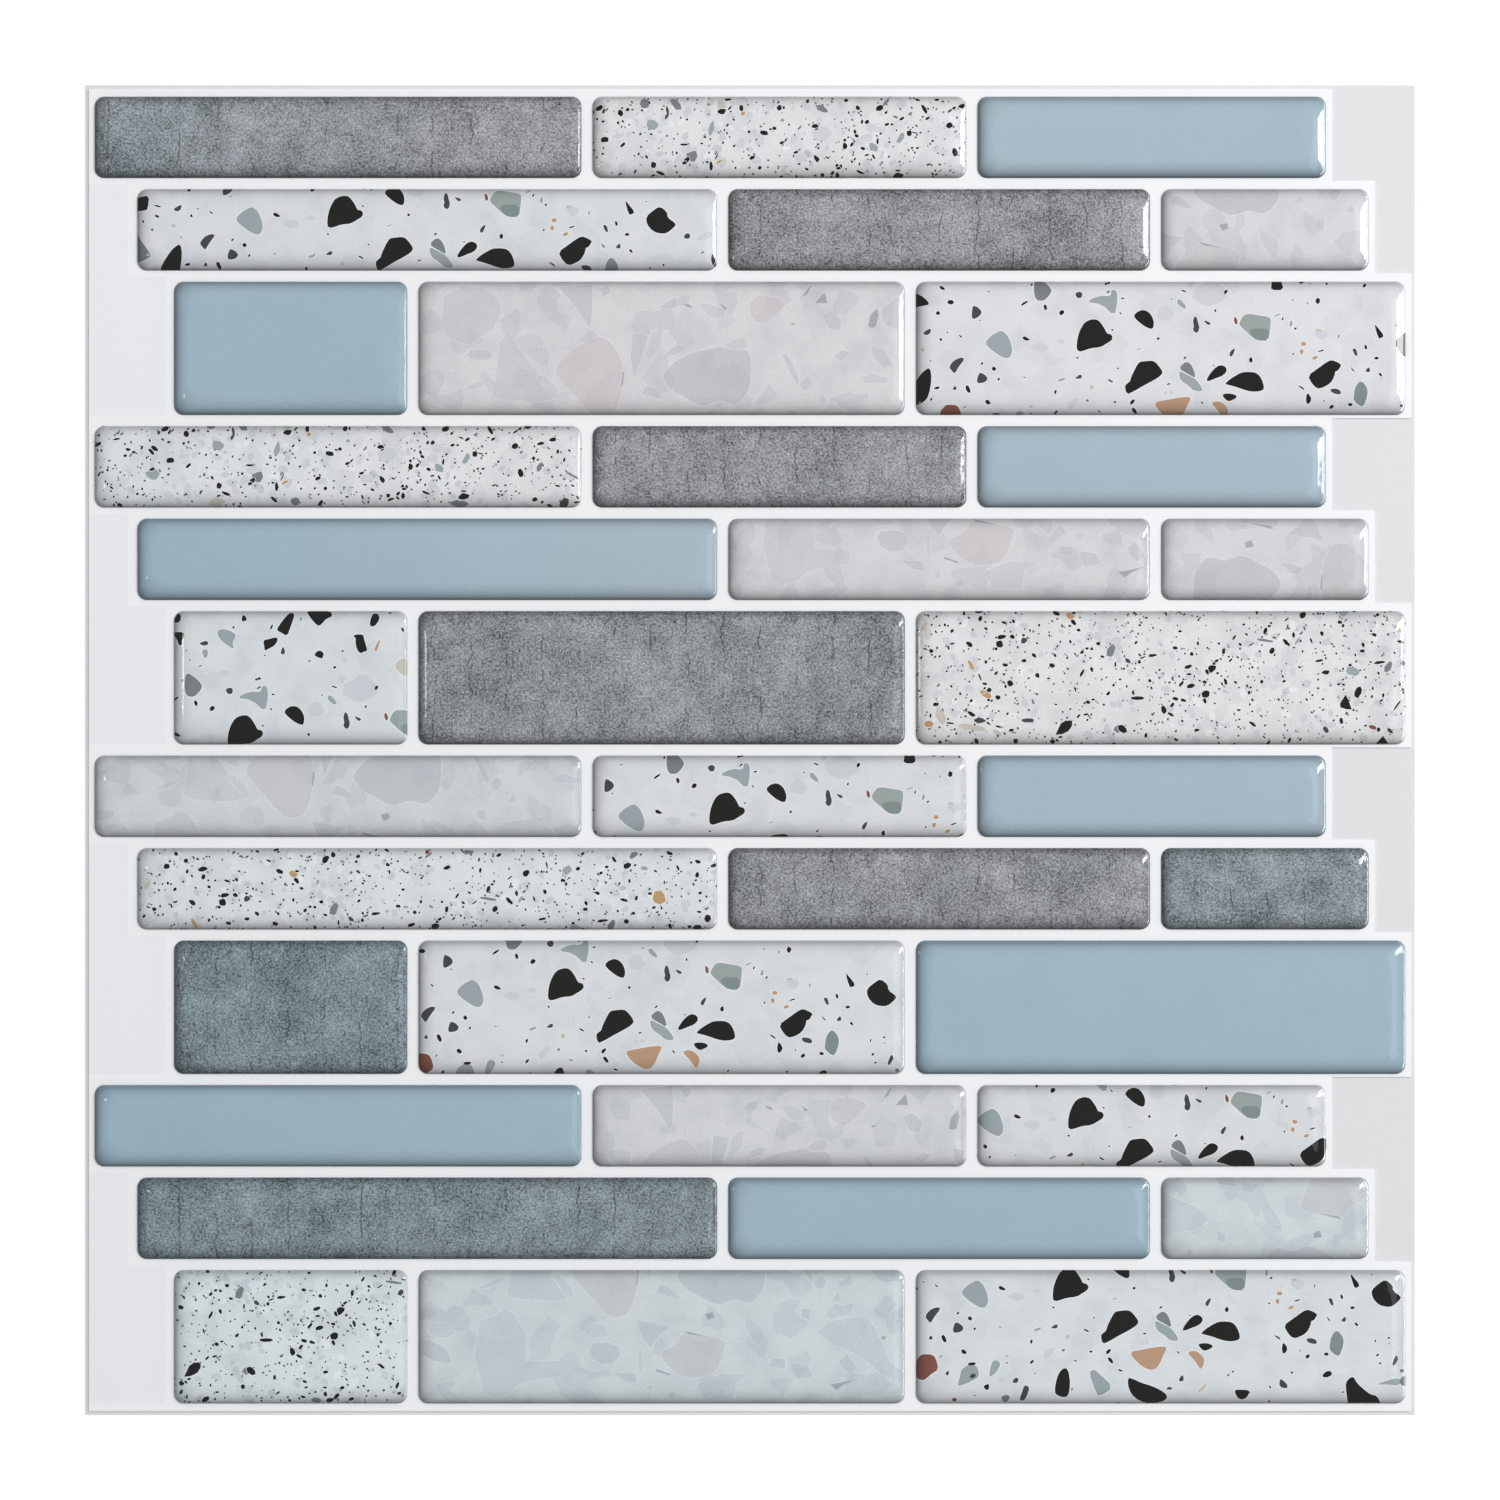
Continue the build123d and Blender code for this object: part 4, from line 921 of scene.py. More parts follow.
@dataclass(frozen=True)
class Dome:
    """The surface of a poured gel tile, in millimetres.

    The gel meets the film steeply and turns through a tight shoulder into a broad crown, which ends
    in a level top. Its contours are rounded rectangles whose corners open as they go in.

    Attributes:
        low: The lower left corner of the tile.
        high: The upper right corner of the tile.
        foot: The height of the film under it.
        corner_radius: The radius of the outline's corners.
        corner_opening: How much that radius grows for each millimetre inwards.
        contact_angle: How steeply the gel meets the film, in degrees.
        crown_angle: The tilt at which the shoulder turns into the crown, in degrees.
        shoulder_radius: The radius of the shoulder in section.
        crown_radius: The radius of the crown in section.
        shoulder_angles: The tilts at which the mesh divides the shoulder, in degrees.
        crown_angles: The tilts at which the mesh divides the crown, down to the level top.
        corner_steps: How many edges the mesh has round a corner.
    """

    low: Point
    high: Point
    foot: float
    corner_radius: float = 2.2
    corner_opening: float = 0.5
    contact_angle: float = 80.0
    crown_angle: float = 22.0
    shoulder_radius: float = 0.98
    crown_radius: float = 8.87
    shoulder_angles: tuple[float, ...] = (66.0, 54.0, 43.0, 32.0)
    crown_angles: tuple[float, ...] = (19.0, 16.0, 12.8, 9.6, 6.4, 3.2, 0.0)
    corner_steps: int = 12

    @property
    def shoulder_inset(self) -> float:
        """How far in the shoulder ends."""
        return self.shoulder_radius * (self._sin(self.contact_angle) - self._sin(self.crown_angle))

    @property
    def crown_inset(self) -> float:
        """How far in the crown ends and the level top starts."""
        return self.shoulder_inset + self.crown_radius * self._sin(self.crown_angle)

    @property
    def middle(self) -> Point:
        """The middle of the tile."""
        return (self.low[0] + self.high[0]) / 2, (self.low[1] + self.high[1]) / 2

    @property
    def half(self) -> Point:
        """Half the tile's length and height."""
        return (self.high[0] - self.low[0]) / 2, (self.high[1] - self.low[1]) / 2

    @staticmethod
    def _sin(degrees: float) -> float:
        """The sine of an angle in degrees."""
        return math.sin(math.radians(degrees))

    @staticmethod
    def _cos(degrees: float) -> float:
        """The cosine of an angle in degrees."""
        return math.cos(math.radians(degrees))

    def insets(self) -> list[float]:
        """Returns the insets of the contours that the mesh follows, from the edge to the level top."""
        shoulder = [
            self.shoulder_radius * (self._sin(self.contact_angle) - self._sin(angle))
            for angle in (self.contact_angle, *self.shoulder_angles)
        ]
        crown = [
            self.crown_inset - self.crown_radius * self._sin(angle)
            for angle in (self.crown_angle, *self.crown_angles)
        ]
        return shoulder + crown

    def contour(self, inset: float) -> list[Point]:
        """Returns the counter-clockwise contour at an inset from the edge."""
        radius = self.corner_radius + self.corner_opening * inset
        reach_x = self.half[0] - inset - radius
        reach_y = self.half[1] - inset - radius
        points = []
        for quarter, (side_x, side_y) in enumerate(((1, 1), (-1, 1), (-1, -1), (1, -1))):
            for step in range(self.corner_steps + 1):
                angle = (quarter + step / self.corner_steps) * math.pi / 2
                x = self.middle[0] + side_x * reach_x + radius * math.cos(angle)
                y = self.middle[1] + side_y * reach_y + radius * math.sin(angle)
                points.append((x, y))
        return points

    def inset(self, x: float, y: float) -> float:
        """Returns the inset of the contour that passes through a point."""
        across = abs(x - self.middle[0]) - self.half[0]
        along = abs(y - self.middle[1]) - self.half[1]
        straight = min(-across, -along)
        growth = 1 + self.corner_opening
        past_x = across + self.corner_radius
        past_y = along + self.corner_radius
        if past_x + growth * straight <= 0 or past_y + growth * straight <= 0:
            return straight
        square = 2 * growth**2 - self.corner_opening**2
        linear = growth * (past_x + past_y) - self.corner_opening * self.corner_radius
        constant = past_x**2 + past_y**2 - self.corner_radius**2
        return (math.sqrt(max(linear**2 - square * constant, 0.0)) - linear) / square

    def slope(self, inset: float) -> float:
        """Returns the tilt of the surface at an inset, in radians."""
        if inset < self.shoulder_inset:
            sine = self._sin(self.contact_angle) - max(inset, 0.0) / self.shoulder_radius
        else:
            sine = max(self.crown_inset - inset, 0.0) / self.crown_radius
        return math.asin(min(sine, 1.0))

    def height(self, inset: float) -> float:
        """Returns the height of the surface at an inset."""
        tilt = math.cos(self.slope(inset))
        shoulder_top = self.shoulder_radius * (self._cos(self.crown_angle) - self._cos(self.contact_angle))
        if inset < self.shoulder_inset:
            return self.foot + self.shoulder_radius * (tilt - self._cos(self.contact_angle))
        return self.foot + shoulder_top + self.crown_radius * (tilt - self._cos(self.crown_angle))

    def outward(self, x: float, y: float) -> Vector:
        """Returns the direction in plan in which the surface falls."""
        step = 0.01
        level = 1e-9
        fall_x = self.inset(x - step, y) - self.inset(x + step, y)
        fall_y = self.inset(x, y - step) - self.inset(x, y + step)
        fall = Vector((fall_x, fall_y))
        return fall.normalized() if fall.length > level else Vector((1.0, 0.0))

    def normal(self, x: float, y: float) -> Vector:
        """Returns the direction in which the surface faces at a point."""
        tilt = self.slope(self.inset(x, y))
        outward = self.outward(x, y) * math.sin(tilt)
        return Vector((outward.x, outward.y, math.cos(tilt)))

    def shade(self, x: float, y: float) -> float:
        """Returns the share of the print's colour that the painted rim shade keeps at a point."""
        inset = max(self.inset(x, y), 0.0)
        outward = self.outward(x, y)
        kept = 1.0
        for edge in RIM_SHADES:
            facing = max(outward.dot(Vector(edge.outward)), 0.0) ** 2
            kept -= facing * edge.taken(inset)
        return kept


@dataclass
class GelTile:
    """One gel tile: a dome over its part of a print.

    Attributes:
        node: The solid that it stands for, from whose name it takes its own.
        cut: Its print and the part of it that shows.
        material: Its finish.
        dome: Its surface, from the solid's place.
    """

    node: str
    cut: Cut
    material: bpy.types.Material
    dome: Dome = field(init=False)

    def __post_init__(self) -> None:
        """Takes the dome's place from the solid."""
        low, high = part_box(self.node)
        self.dome = Dome((low.x / MM, low.y / MM), (high.x / MM, high.y / MM), low.z / MM)

    def build(self) -> bpy.types.Object:
        """Makes the tile's mesh, dresses it and puts it in place of its solid.

        Returns:
            The tile's object.
        """
        shape = bmesh.new()
        inlay = shape.loops.layers.float_color.new("inlay")
        if self.cut.finish in PRINTS:
            self._add_inlaid_top(shape, inlay)
        else:
            self._add_plain_top(shape)
        rim = [edge for edge in shape.edges if edge.is_boundary]
        base = bmesh.ops.contextual_create(shape, geom=rim)["faces"]
        for loop in (loop for face in base for loop in face.loops):
            loop[inlay] = BARE
        bmesh.ops.recalc_face_normals(shape, faces=shape.faces)
        for face in shape.faces:
            face.smooth = face not in base
        name = self.node.replace("gel_", "gel_tile_")
        mesh = bpy.data.meshes.new(name)
        shape.to_mesh(mesh)
        shape.free()
        self._dress(mesh)
        tile = bpy.data.objects.new(name, mesh)
        bpy.context.scene.collection.objects.link(tile)
        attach(tile, BODY)
        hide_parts(self.node)
        return tile

    def _add_plain_top(self, shape: bmesh.types.BMesh) -> None:
        """Adds the dome's surface as loops bridged from the edge to the level top."""
        loops = []
        for inset in self.dome.insets():
            contour = self.dome.contour(inset)
            loop = bmesh.ops.create_circle(shape, segments=len(contour), radius=1.0)["verts"]
            for vert, (x, y) in zip(loop, contour):
                vert.co = Vector((x, y, self.dome.height(inset))) * MM
            loops.append({edge for vert in loop for edge in vert.link_edges})
        for outer, inner in pairwise(loops):
            bmesh.ops.bridge_loops(shape, edges=list(outer | inner))
        bmesh.ops.contextual_create(shape, geom=list(loops[-1]))

    def _add_inlaid_top(self, shape: bmesh.types.BMesh, inlay: Any) -> None:
        """Adds the dome's surface divided along its contours and along the edges of its chips.

        Args:
            shape: The mesh that is being made.
            inlay: The layer that holds the colour of each chip.
        """
        points: list[Point] = []
        faces: list[list[int]] = []

        def add_face(outline: Outline) -> None:
            """Adds one outline to what the surface is divided along."""
            start = len(points)
            points.extend(outline)
            faces.append(list(range(start, len(points))))

        insets = self.dome.insets()
        for inset in insets:
            add_face(tuple(self.dome.contour(inset)))
        shown = list(self._shown_chips())
        for chip in shown:
            add_face(counter_clockwise(chip.outline))
        inside_only = 1
        closeness = 1e-5
        divided, _, pieces, _, _, owners = delaunay_2d_cdt(
            [Vector(point) for point in points], [], faces, inside_only, closeness
        )
        verts: dict[int, bmesh.types.BMVert] = {}
        for piece, owner in zip(pieces, owners):
            if 0 not in owner:
                continue
            for index in piece:
                if index not in verts:
                    x, y = divided[index]
                    height = self.dome.height(self.dome.inset(x, y))
                    verts[index] = shape.verts.new(Vector((x, y, height)) * MM)
            face = shape.faces.new([verts[index] for index in piece])
            top = max(owner) - len(insets)
            colour = shown[top].tone.value if top >= 0 else BARE
            for loop in face.loops:
                loop[inlay] = colour

    def _shown_chips(self) -> Iterator[Chip]:
        """Yields the print's chips that touch the tile, moved to their place on it."""
        sense = -1 if self.cut.turned else 1
        move_x = self.dome.low[0] - sense * self.cut.crop[0]
        move_y = self.dome.low[1] - sense * self.cut.crop[1]
        for chip in PRINTS[self.cut.finish].chips():
            outline = tuple((sense * x + move_x, sense * y + move_y) for x, y in chip.outline)
            if any(self.dome.inset(x, y) > 0 for x, y in outline):
                yield Chip(outline, chip.tone)

    def _dress(self, mesh: bpy.types.Mesh) -> None:
        """Gives the mesh its finish, the dome's true facing, the painted rim shade and the warmth of its
        print.
        """
        mesh.materials.append(self.material)
        plan = [(vert.co.x / MM, vert.co.y / MM) for vert in mesh.vertices]
        facing = [self.dome.normal(x, y) for x, y in plan]
        down = Vector((0.0, 0.0, -1.0))
        normals = []
        for face in mesh.polygons:
            normals += [facing[index] if face.use_smooth else down for index in face.vertices]
        mesh.normals_split_custom_set(normals)
        # Painted shade towards the rims, which the finish multiplies into the print's colour.
        shade = mesh.attributes.new("rim_shade", "FLOAT", "POINT")
        shade.data.foreach_set("value", [self.dome.shade(x, y) for x, y in plan])
        warmth = mesh.attributes.new("warmth", "FLOAT", "POINT")
        left, right = self.cut.warmth
        length = self.dome.high[0] - self.dome.low[0]
        along = [(x - self.dome.low[0]) / length for x, _ in plan]
        warmth.data.foreach_set("value", [left + (right - left) * share for share in along])


Term = Union["Value", float]
Socket = bpy.types.NodeSocket

# A Mix node has a set of sockets for each kind of thing it mixes. These are its colours and its result.
MIX_FIRST = 6
MIX_SECOND = 7
MIX_RESULT = 2


class Value:
    """A number on a shader socket. Arithmetic on it adds Math nodes."""

    def __init__(self, graph: Graph, socket: Socket) -> None:
        """Wraps a socket of a graph."""
        self.graph = graph
        self.socket = socket

    def _math(self, operation: str, *terms: Term) -> Value:
        """Adds a Math node on the terms."""
        return self.graph.value("ShaderNodeMath", {"operation": operation}, dict(enumerate(terms)))

    def __add__(self, other: Term) -> Value:
        """Adds."""
        return self._math("ADD", self, other)

    __radd__ = __add__

    def __sub__(self, other: Term) -> Value:
        """Takes another from this."""
        return self._math("SUBTRACT", self, other)

    def __rsub__(self, other: Term) -> Value:
        """Takes this from another."""
        return self._math("SUBTRACT", other, self)

    def __mul__(self, other: Term) -> Value:
        """Multiplies."""
        return self._math("MULTIPLY", self, other)

    __rmul__ = __mul__

    def __truediv__(self, other: Term) -> Value:
        """Divides this by another."""
        return self._math("DIVIDE", self, other)

    def __pow__(self, other: Term) -> Value:
        """Raises to a power."""
        return self._math("POWER", self, other)

    def fraction(self) -> Value:
        """What is left of this above the next lower whole number."""
        return self._math("FRACT", self)

    def absolute(self) -> Value:
        """This without its sign."""
        return self._math("ABSOLUTE", self)

    def most(self, other: Term) -> Value:
        """The larger of this and another."""
        return self._math("MAXIMUM", self, other)

    def rise(self, low: float, high: float) -> Value:
        """Rises smoothly from 0 to 1 as this goes from low to high, which may be the smaller."""
        inputs = {"Value": self, "From Min": low, "From Max": high}
        return self.graph.value("ShaderNodeMapRange", {"interpolation_type": "SMOOTHSTEP"}, inputs)


class Graph:
    """The nodes of one material or world."""

    def __init__(self, owner: bpy.types.Material | bpy.types.World) -> None:
        """Starts an empty graph in a material or a world."""
        owner.use_nodes = True
        self.tree = owner.node_tree
        self.tree.nodes.clear()

    def add(
        self,
        kind: str,
        settings: dict[str, Any] | None = None,
        inputs: dict[Any, Any] | None = None,
    ) -> bpy.types.Node:
        """Adds a node.

        Args:
            kind: Its type.
            settings: Its own settings, which are set first.
            inputs: What its sockets hold, or the sockets that feed them.

        Returns:
            The node.
        """
        node = self.tree.nodes.new(kind)
        for name, setting in (settings or {}).items():
            setattr(node, name, setting)
        for key, source in (inputs or {}).items():
            if isinstance(source, Value):
                source = source.socket
            if isinstance(source, Socket):
                self.tree.links.new(source, node.inputs[key])
            else:
                node.inputs[key].default_value = source
        return node

    def value(
        self, kind: str, settings: dict[str, Any] | None, inputs: dict[Any, Any] | None, output: Any = 0
    ) -> Value:
        """Adds a node and returns one of its outputs as a number."""
        return Value(self, self.add(kind, settings, inputs).outputs[output])

    def vector(self, operation: str, inputs: dict[Any, Any]) -> Socket:
        """Adds a Vector Math node and returns its vector."""
        return self.add("ShaderNodeVectorMath", {"operation": operation}, inputs).outputs[0]

    def place(self) -> Socket:
        """The place of the shaded point in millimetres."""
        here = self.add("ShaderNodeTexCoord").outputs["Object"]
        return self.vector("SCALE", {0: here, "Scale": 1 / MM})

    def stretched(self, place: Socket, x: float, y: float) -> Socket:
        """The place with its coordinates multiplied."""
        return self.vector("MULTIPLY", {0: place, 1: (x, y, 1.0)})

    def warped(self, place: Socket, reach: float, size: float) -> Socket:
        """The place shifted about by a soft noise."""
        inputs = {"Vector": place, "Scale": 1 / size, "Detail": 2.0}
        wobble = self.add("ShaderNodeTexNoise", None, inputs).outputs["Color"]
        centred = self.vector("SUBTRACT", {0: wobble, 1: (0.5, 0.5, 0.5)})
        shift = self.vector("SCALE", {0: centred, "Scale": reach})
        return self.vector("ADD", {0: place, 1: shift})

    def noise(self, place: Socket, size: float, detail: float = 2.0) -> Value:
        """Noise whose features are about size millimetres across."""
        inputs = {"Vector": place, "Scale": 1 / size, "Detail": detail, "Roughness": 0.55}
        return self.value("ShaderNodeTexNoise", None, inputs)

    def threads(self, place: Socket, spacing: float) -> Value:
        """1 along thin winding lines that lie about a spacing apart, and 0 between them."""
        width = 0.05
        return (self.noise(place, spacing, 1.0) - 0.5).absolute().rise(width, 0.0)

    def attribute(self, name: str, output: str = "Fac") -> Socket:
        """A socket of one of the mesh's own attributes."""
        return self.add("ShaderNodeAttribute", {"attribute_name": name}).outputs[output]

    def number(self, name: str) -> Value:
        """One of the mesh's own attributes as a number."""
        return Value(self, self.attribute(name))

    def mix(self, first: Any, second: Any, factor: Term | Socket) -> Socket:
        """A colour between two others."""
        inputs = {"Factor": factor, MIX_FIRST: first, MIX_SECOND: second}
        return self.add("ShaderNodeMix", {"data_type": "RGBA"}, inputs).outputs[MIX_RESULT]

    def dimmed(self, colour: Any, factor: Value) -> Socket:
        """A colour multiplied by a number."""
        return self.vector("SCALE", {0: colour, "Scale": factor})

    def bump(self, height: Value, strength: float, distance: float) -> Socket:
        """The facing of a surface with a fine relief, whose greatest height is given in metres."""
        inputs = {"Strength": strength, "Distance": distance, "Height": height}
        return self.add("ShaderNodeBump", None, inputs).outputs[0]

    def surface(self, inputs: dict[str, Any]) -> None:
        """Adds the shader of a material with the given inputs, and the output that it feeds."""
        shader = self.add("ShaderNodeBsdfPrincipled", None, inputs)
        self.add("ShaderNodeOutputMaterial", None, {"Surface": shader.outputs[0]})


@dataclass(frozen=True)
class Layer:
    """A layer of soft noise that lightens and darkens a print.

    Attributes:
        size: About how large its features are, in millimetres.
        detail: How many finer noises are laid over it.
        weight: How much it changes the print.
    """

    size: float
    detail: float
    weight: float

    def over(self, graph: Graph, place: Socket) -> Value:
        """Adds the layer, which is 0 on average."""
        return (graph.noise(place, self.size, self.detail) - 0.5) * self.weight


@dataclass(frozen=True)
class GelFinish:
    """A print with painted shade towards the rims, under a gel whose top is glossy and slightly wavy.

    Attributes:
        finish: Which of the sheet's finishes it is.
        layers: What lightens and darkens the print.
        rim_shade_power: How strongly the painted rim shade darkens it.
        roughness: The roughness of the gel's top.
        refraction: The gel's index of refraction.
        reflection: How strongly the gel's top reflects.
        wave_size: About how large its waves are, in millimetres.
        wave_strength: How much of the waves shows.
        wave_height: How high the waves are, in metres.
    """

    finish: Finish
    layers: tuple[Layer, ...]
    rim_shade_power: float = 1.0
    roughness: float = 0.06
    refraction: float = 1.5
    reflection: float = 0.22
    wave_size: float = 2.2
    wave_strength: float = 0.25
    wave_height: float = 0.00012

    def material(self) -> bpy.types.Material:
        """Makes the material."""
        material = bpy.data.materials.new(self.finish.value)
        graph = Graph(material)
        place = graph.place()
        print_colour = graph.dimmed(self.colour(graph, place), self.brightness(graph, place))
        waves = graph.noise(place, self.wave_size, 1.0)
        graph.surface(
            {
                # The painted rim shade darkens the print's colour.
                "Base Color": graph.dimmed(print_colour, graph.number("rim_shade") ** self.rim_shade_power),
                "Roughness": self.roughness,
                "IOR": self.refraction,
                "Specular IOR Level": self.reflection,
                "Normal": graph.bump(waves, self.wave_strength, self.wave_height),
            }
        )
        return material

    def colour(self, graph: Graph, place: Socket) -> Socket:
        """The print's colour before its layers lighten and darken it."""
        raise NotImplementedError

    def brightness(self, graph: Graph, place: Socket) -> Value:
        """How much the print's layers lighten and darken it."""
        return sum((layer.over(graph, place) for layer in self.layers), start=1.0)


@dataclass(frozen=True, kw_only=True)
class PlainFinish(GelFinish):
    """A print of one colour, which goes from a cool to a warm tone with the tile's warmth.

    Attributes:
        cool: Its cool tone.
        warm: Its warm tone.
    """

    cool: Colour
    warm: Colour

    def colour(self, graph: Graph, place: Socket) -> Socket:
        """The tone that the tile's warmth gives."""
        return graph.mix(self.cool, self.warm, graph.number("warmth"))


@dataclass(frozen=True, kw_only=True)
class SlateFinish(PlainFinish):
    """The dark concrete: a thread-like grain over teal and grey clouds, with upright cracks.

    Attributes:
        tint: The clouds that turn its tone.
        level: Its brightness before the layers change it.
        bright_threads: How much the bright threads of the grain add.
        dark_threads: How much the dark threads take.
        crack_spacing: How far apart its cracks may lie, in millimetres.
        crack_wander: How far a crack strays from upright, as a share of the spacing.
        crack_depth: How much of its brightness is lost in a crack.
        darkest: The least brightness.
    """

    tint: Layer = Layer(22.0, 2.0, 0.5)
    level: float = 0.99
    bright_threads: float = 0.34
    dark_threads: float = 0.3
    crack_spacing: float = 8.3
    crack_wander: float = 0.45
    crack_depth: float = 0.55
    darkest: float = 0.2

    def colour(self, graph: Graph, place: Socket) -> Socket:
        """The tone that the tile's warmth and the clouds give."""
        return graph.mix(self.cool, self.warm, graph.number("warmth") + self.tint.over(graph, place))

    def brightness(self, graph: Graph, place: Socket) -> Value:
        """The layers, the threads of the grain and the cracks."""
        level = sum((layer.over(graph, place) for layer in self.layers), start=self.level)
        bright = graph.threads(graph.warped(place, 0.5, 0.6), 0.8)
        dark = graph.threads(graph.stretched(place, 1.1, 0.9), 1.1)
        level = level + bright * self.bright_threads - dark * self.dark_threads
        return (level * (1 - self._crack(graph, place) * self.crack_depth)).most(self.darkest)

    def _crack(self, graph: Graph, place: Socket) -> Value:
        """1 in a crack and 0 beside it."""
        wander = graph.noise(graph.stretched(place, 0.4, 1.0), 4.0, 3.0)
        across = graph.value("ShaderNodeSeparateXYZ", None, {0: place})
        stripe = (across / self.crack_spacing + wander * self.crack_wander).fraction() - 0.5
        gaps = graph.noise(graph.stretched(place, 0.9, 0.6), 3.0, 2.0)
        return stripe.absolute().rise(0.03, 0.008) * gaps.rise(0.46, 0.58)


@dataclass(frozen=True, kw_only=True)
class InlaidFinish(GelFinish):
    """A print that has chips in a cloudy ground.

    Attributes:
        pale: The ground's paler colour.
        dull: The ground's duller colour.
        clouds: How clearly clouds show in the ground.
        mosaic: How clearly faint shards show in it.
        cool: What the whole print is multiplied by where it is coolest.
    """

    pale: Colour
    dull: Colour
    clouds: float = 0.6
    mosaic: float = 0.35
    cool: Colour = (0.925, 1.02, 1.03, 1.0)

    def colour(self, graph: Graph, place: Socket) -> Socket:
        """The ground and the chips, tinted by the tile's warmth."""
        clouds = graph.noise(place, 7.0, 4.0).rise(0.35, 0.75)
        bounds = {"Vector": graph.warped(place, 2.5, 4.0), "Scale": 1 / 4.5}
        shards = graph.value("ShaderNodeTexVoronoi", None, bounds, "Color").rise(0.62, 0.75)
        ground = graph.mix(self.pale, self.dull, clouds * self.clouds + shards * self.mosaic)
        cover = graph.attribute("inlay", "Alpha")
        inlaid = graph.mix(ground, graph.attribute("inlay", "Color"), cover)
        return graph.vector("MULTIPLY", {0: inlaid, 1: graph.mix(self.cool, WHITE, graph.number("warmth"))})


GEL_FINISHES: tuple[GelFinish, ...] = (
    SlateFinish(
        Finish.SLATE,
        (
            Layer(22.0, 2.0, 0.9),
            Layer(6.0, 3.0, 1.05),
            Layer(1.8, 2.0, 0.65),
            Layer(0.5, 3.0, 2.8),
            Layer(0.28, 1.0, 1.5),
        ),
        # Deeper painted rim shade on the dark slate print.
        rim_shade_power=1.3,
        cool=srgb(120, 139, 147),
        warm=srgb(146, 147, 150),
    ),
    InlaidFinish(
        Finish.TERRAZZO,
        (Layer(0.5, 2.0, 0.12),),
        pale=srgb(220, 221, 224),
        dull=srgb(205, 208, 212),
    ),
    InlaidFinish(
        Finish.SPECKLE,
        (Layer(0.5, 2.0, 0.24),),
        pale=srgb(225, 225, 227),
        dull=srgb(205, 206, 209),
    ),
    PlainFinish(
        Finish.BLUE,
        (Layer(14.0, 3.0, 0.08), Layer(0.5, 2.0, 0.2)),
        # Deeper painted rim shade on the blue print.
        rim_shade_power=1.15,
        cool=srgb(154, 181, 197),
        warm=srgb(172, 187, 197),
    ),
    InlaidFinish(
        Finish.QUARTZ,
        (Layer(0.5, 2.0, 0.24),),
        pale=srgb(214, 213, 216),
        dull=srgb(197, 197, 202),
        mosaic=0.55,
    ),
)


@dataclass(frozen=True)
class FilmFinish:
    """The white vinyl: matte, with a very fine grain, and duller where the next sheet laps over it.

    In each course the plain strip on the left has a narrow part beside the middle row and a wide part
    beside the lower row. Its measures are in millimetres.

    Attributes:
        course: The height of a course.
        strip_top: The top of the first course's narrow part.
        narrow_end: How far below the strip's top its narrow part ends.
        wide_end: How far below the strip's top its wide part ends.
        narrow_edge: Where the narrow part ends across.
        wide_edge: Where the wide part ends across.
        blur: How far the strip's edges are softened either way.
    """

    course: float = 75.5
    strip_top: float = 129.6
    narrow_end: float = 21.2
    wide_end: float = 52.9
    narrow_edge: float = -142.6
    wide_edge: float = -134.1
    blur: float = 0.1

    def _below(self, value: Value, edge: float) -> Value:
        """1 where a value is below an edge, and 0 above it."""
        return value.rise(edge + self.blur, edge - self.blur)

    def material(self) -> bpy.types.Material:
        """Makes the material."""
        material = bpy.data.materials.new("white_film")
        graph = Graph(material)
        place = graph.place()
        grain = graph.noise(place, 0.5, 2.0)
        x = graph.value("ShaderNodeSeparateXYZ", None, {0: place})
        y = graph.value("ShaderNodeSeparateXYZ", None, {0: place}, 1)
        down = ((self.strip_top - y) / self.course).fraction() * self.course
        beside_middle = self._below(down, self.narrow_end)
        narrow = self._below(x, self.narrow_edge) * beside_middle
        wide = self._below(x, self.wide_edge) * (1 - beside_middle) * self._below(down, self.wide_end)
        plain = graph.mix(srgb(238, 240, 242), srgb(243, 244, 246), grain)
        graph.surface(
            {
                "Base Color": graph.mix(plain, srgb(235, 237, 241), narrow + wide),
                "Roughness": 0.8,
                "Specular IOR Level": 0.15,
                "Normal": graph.bump(grain, 0.1, 0.00005),
            }
        )
        return material


@dataclass(frozen=True)
class LinerFinish:
    """The release paper: smooth pale grey with a faint fibre.

    Attributes:
        dark: Its colour in the fibre.
        pale: Its colour between the fibre.
        fibre: About how large the fibre is, in millimetres.
    """

    dark: Colour = srgb(217, 218, 220)
    pale: Colour = srgb(222, 223, 225)
    fibre: float = 1.2

    def material(self) -> bpy.types.Material:
        """Makes the material."""
        material = bpy.data.materials.new("release_liner")
        graph = Graph(material)
        base = graph.mix(self.dark, self.pale, graph.noise(graph.place(), self.fibre, 4.0))
        graph.surface({"Base Color": base, "Roughness": 0.7, "Specular IOR Level": 0.15})
        return material


class Work(Enum):
    """What a lamp does: it shades matte surfaces, or it shows in glossy ones."""

    SHADING = "shading"
    REFLECTION = "reflection"


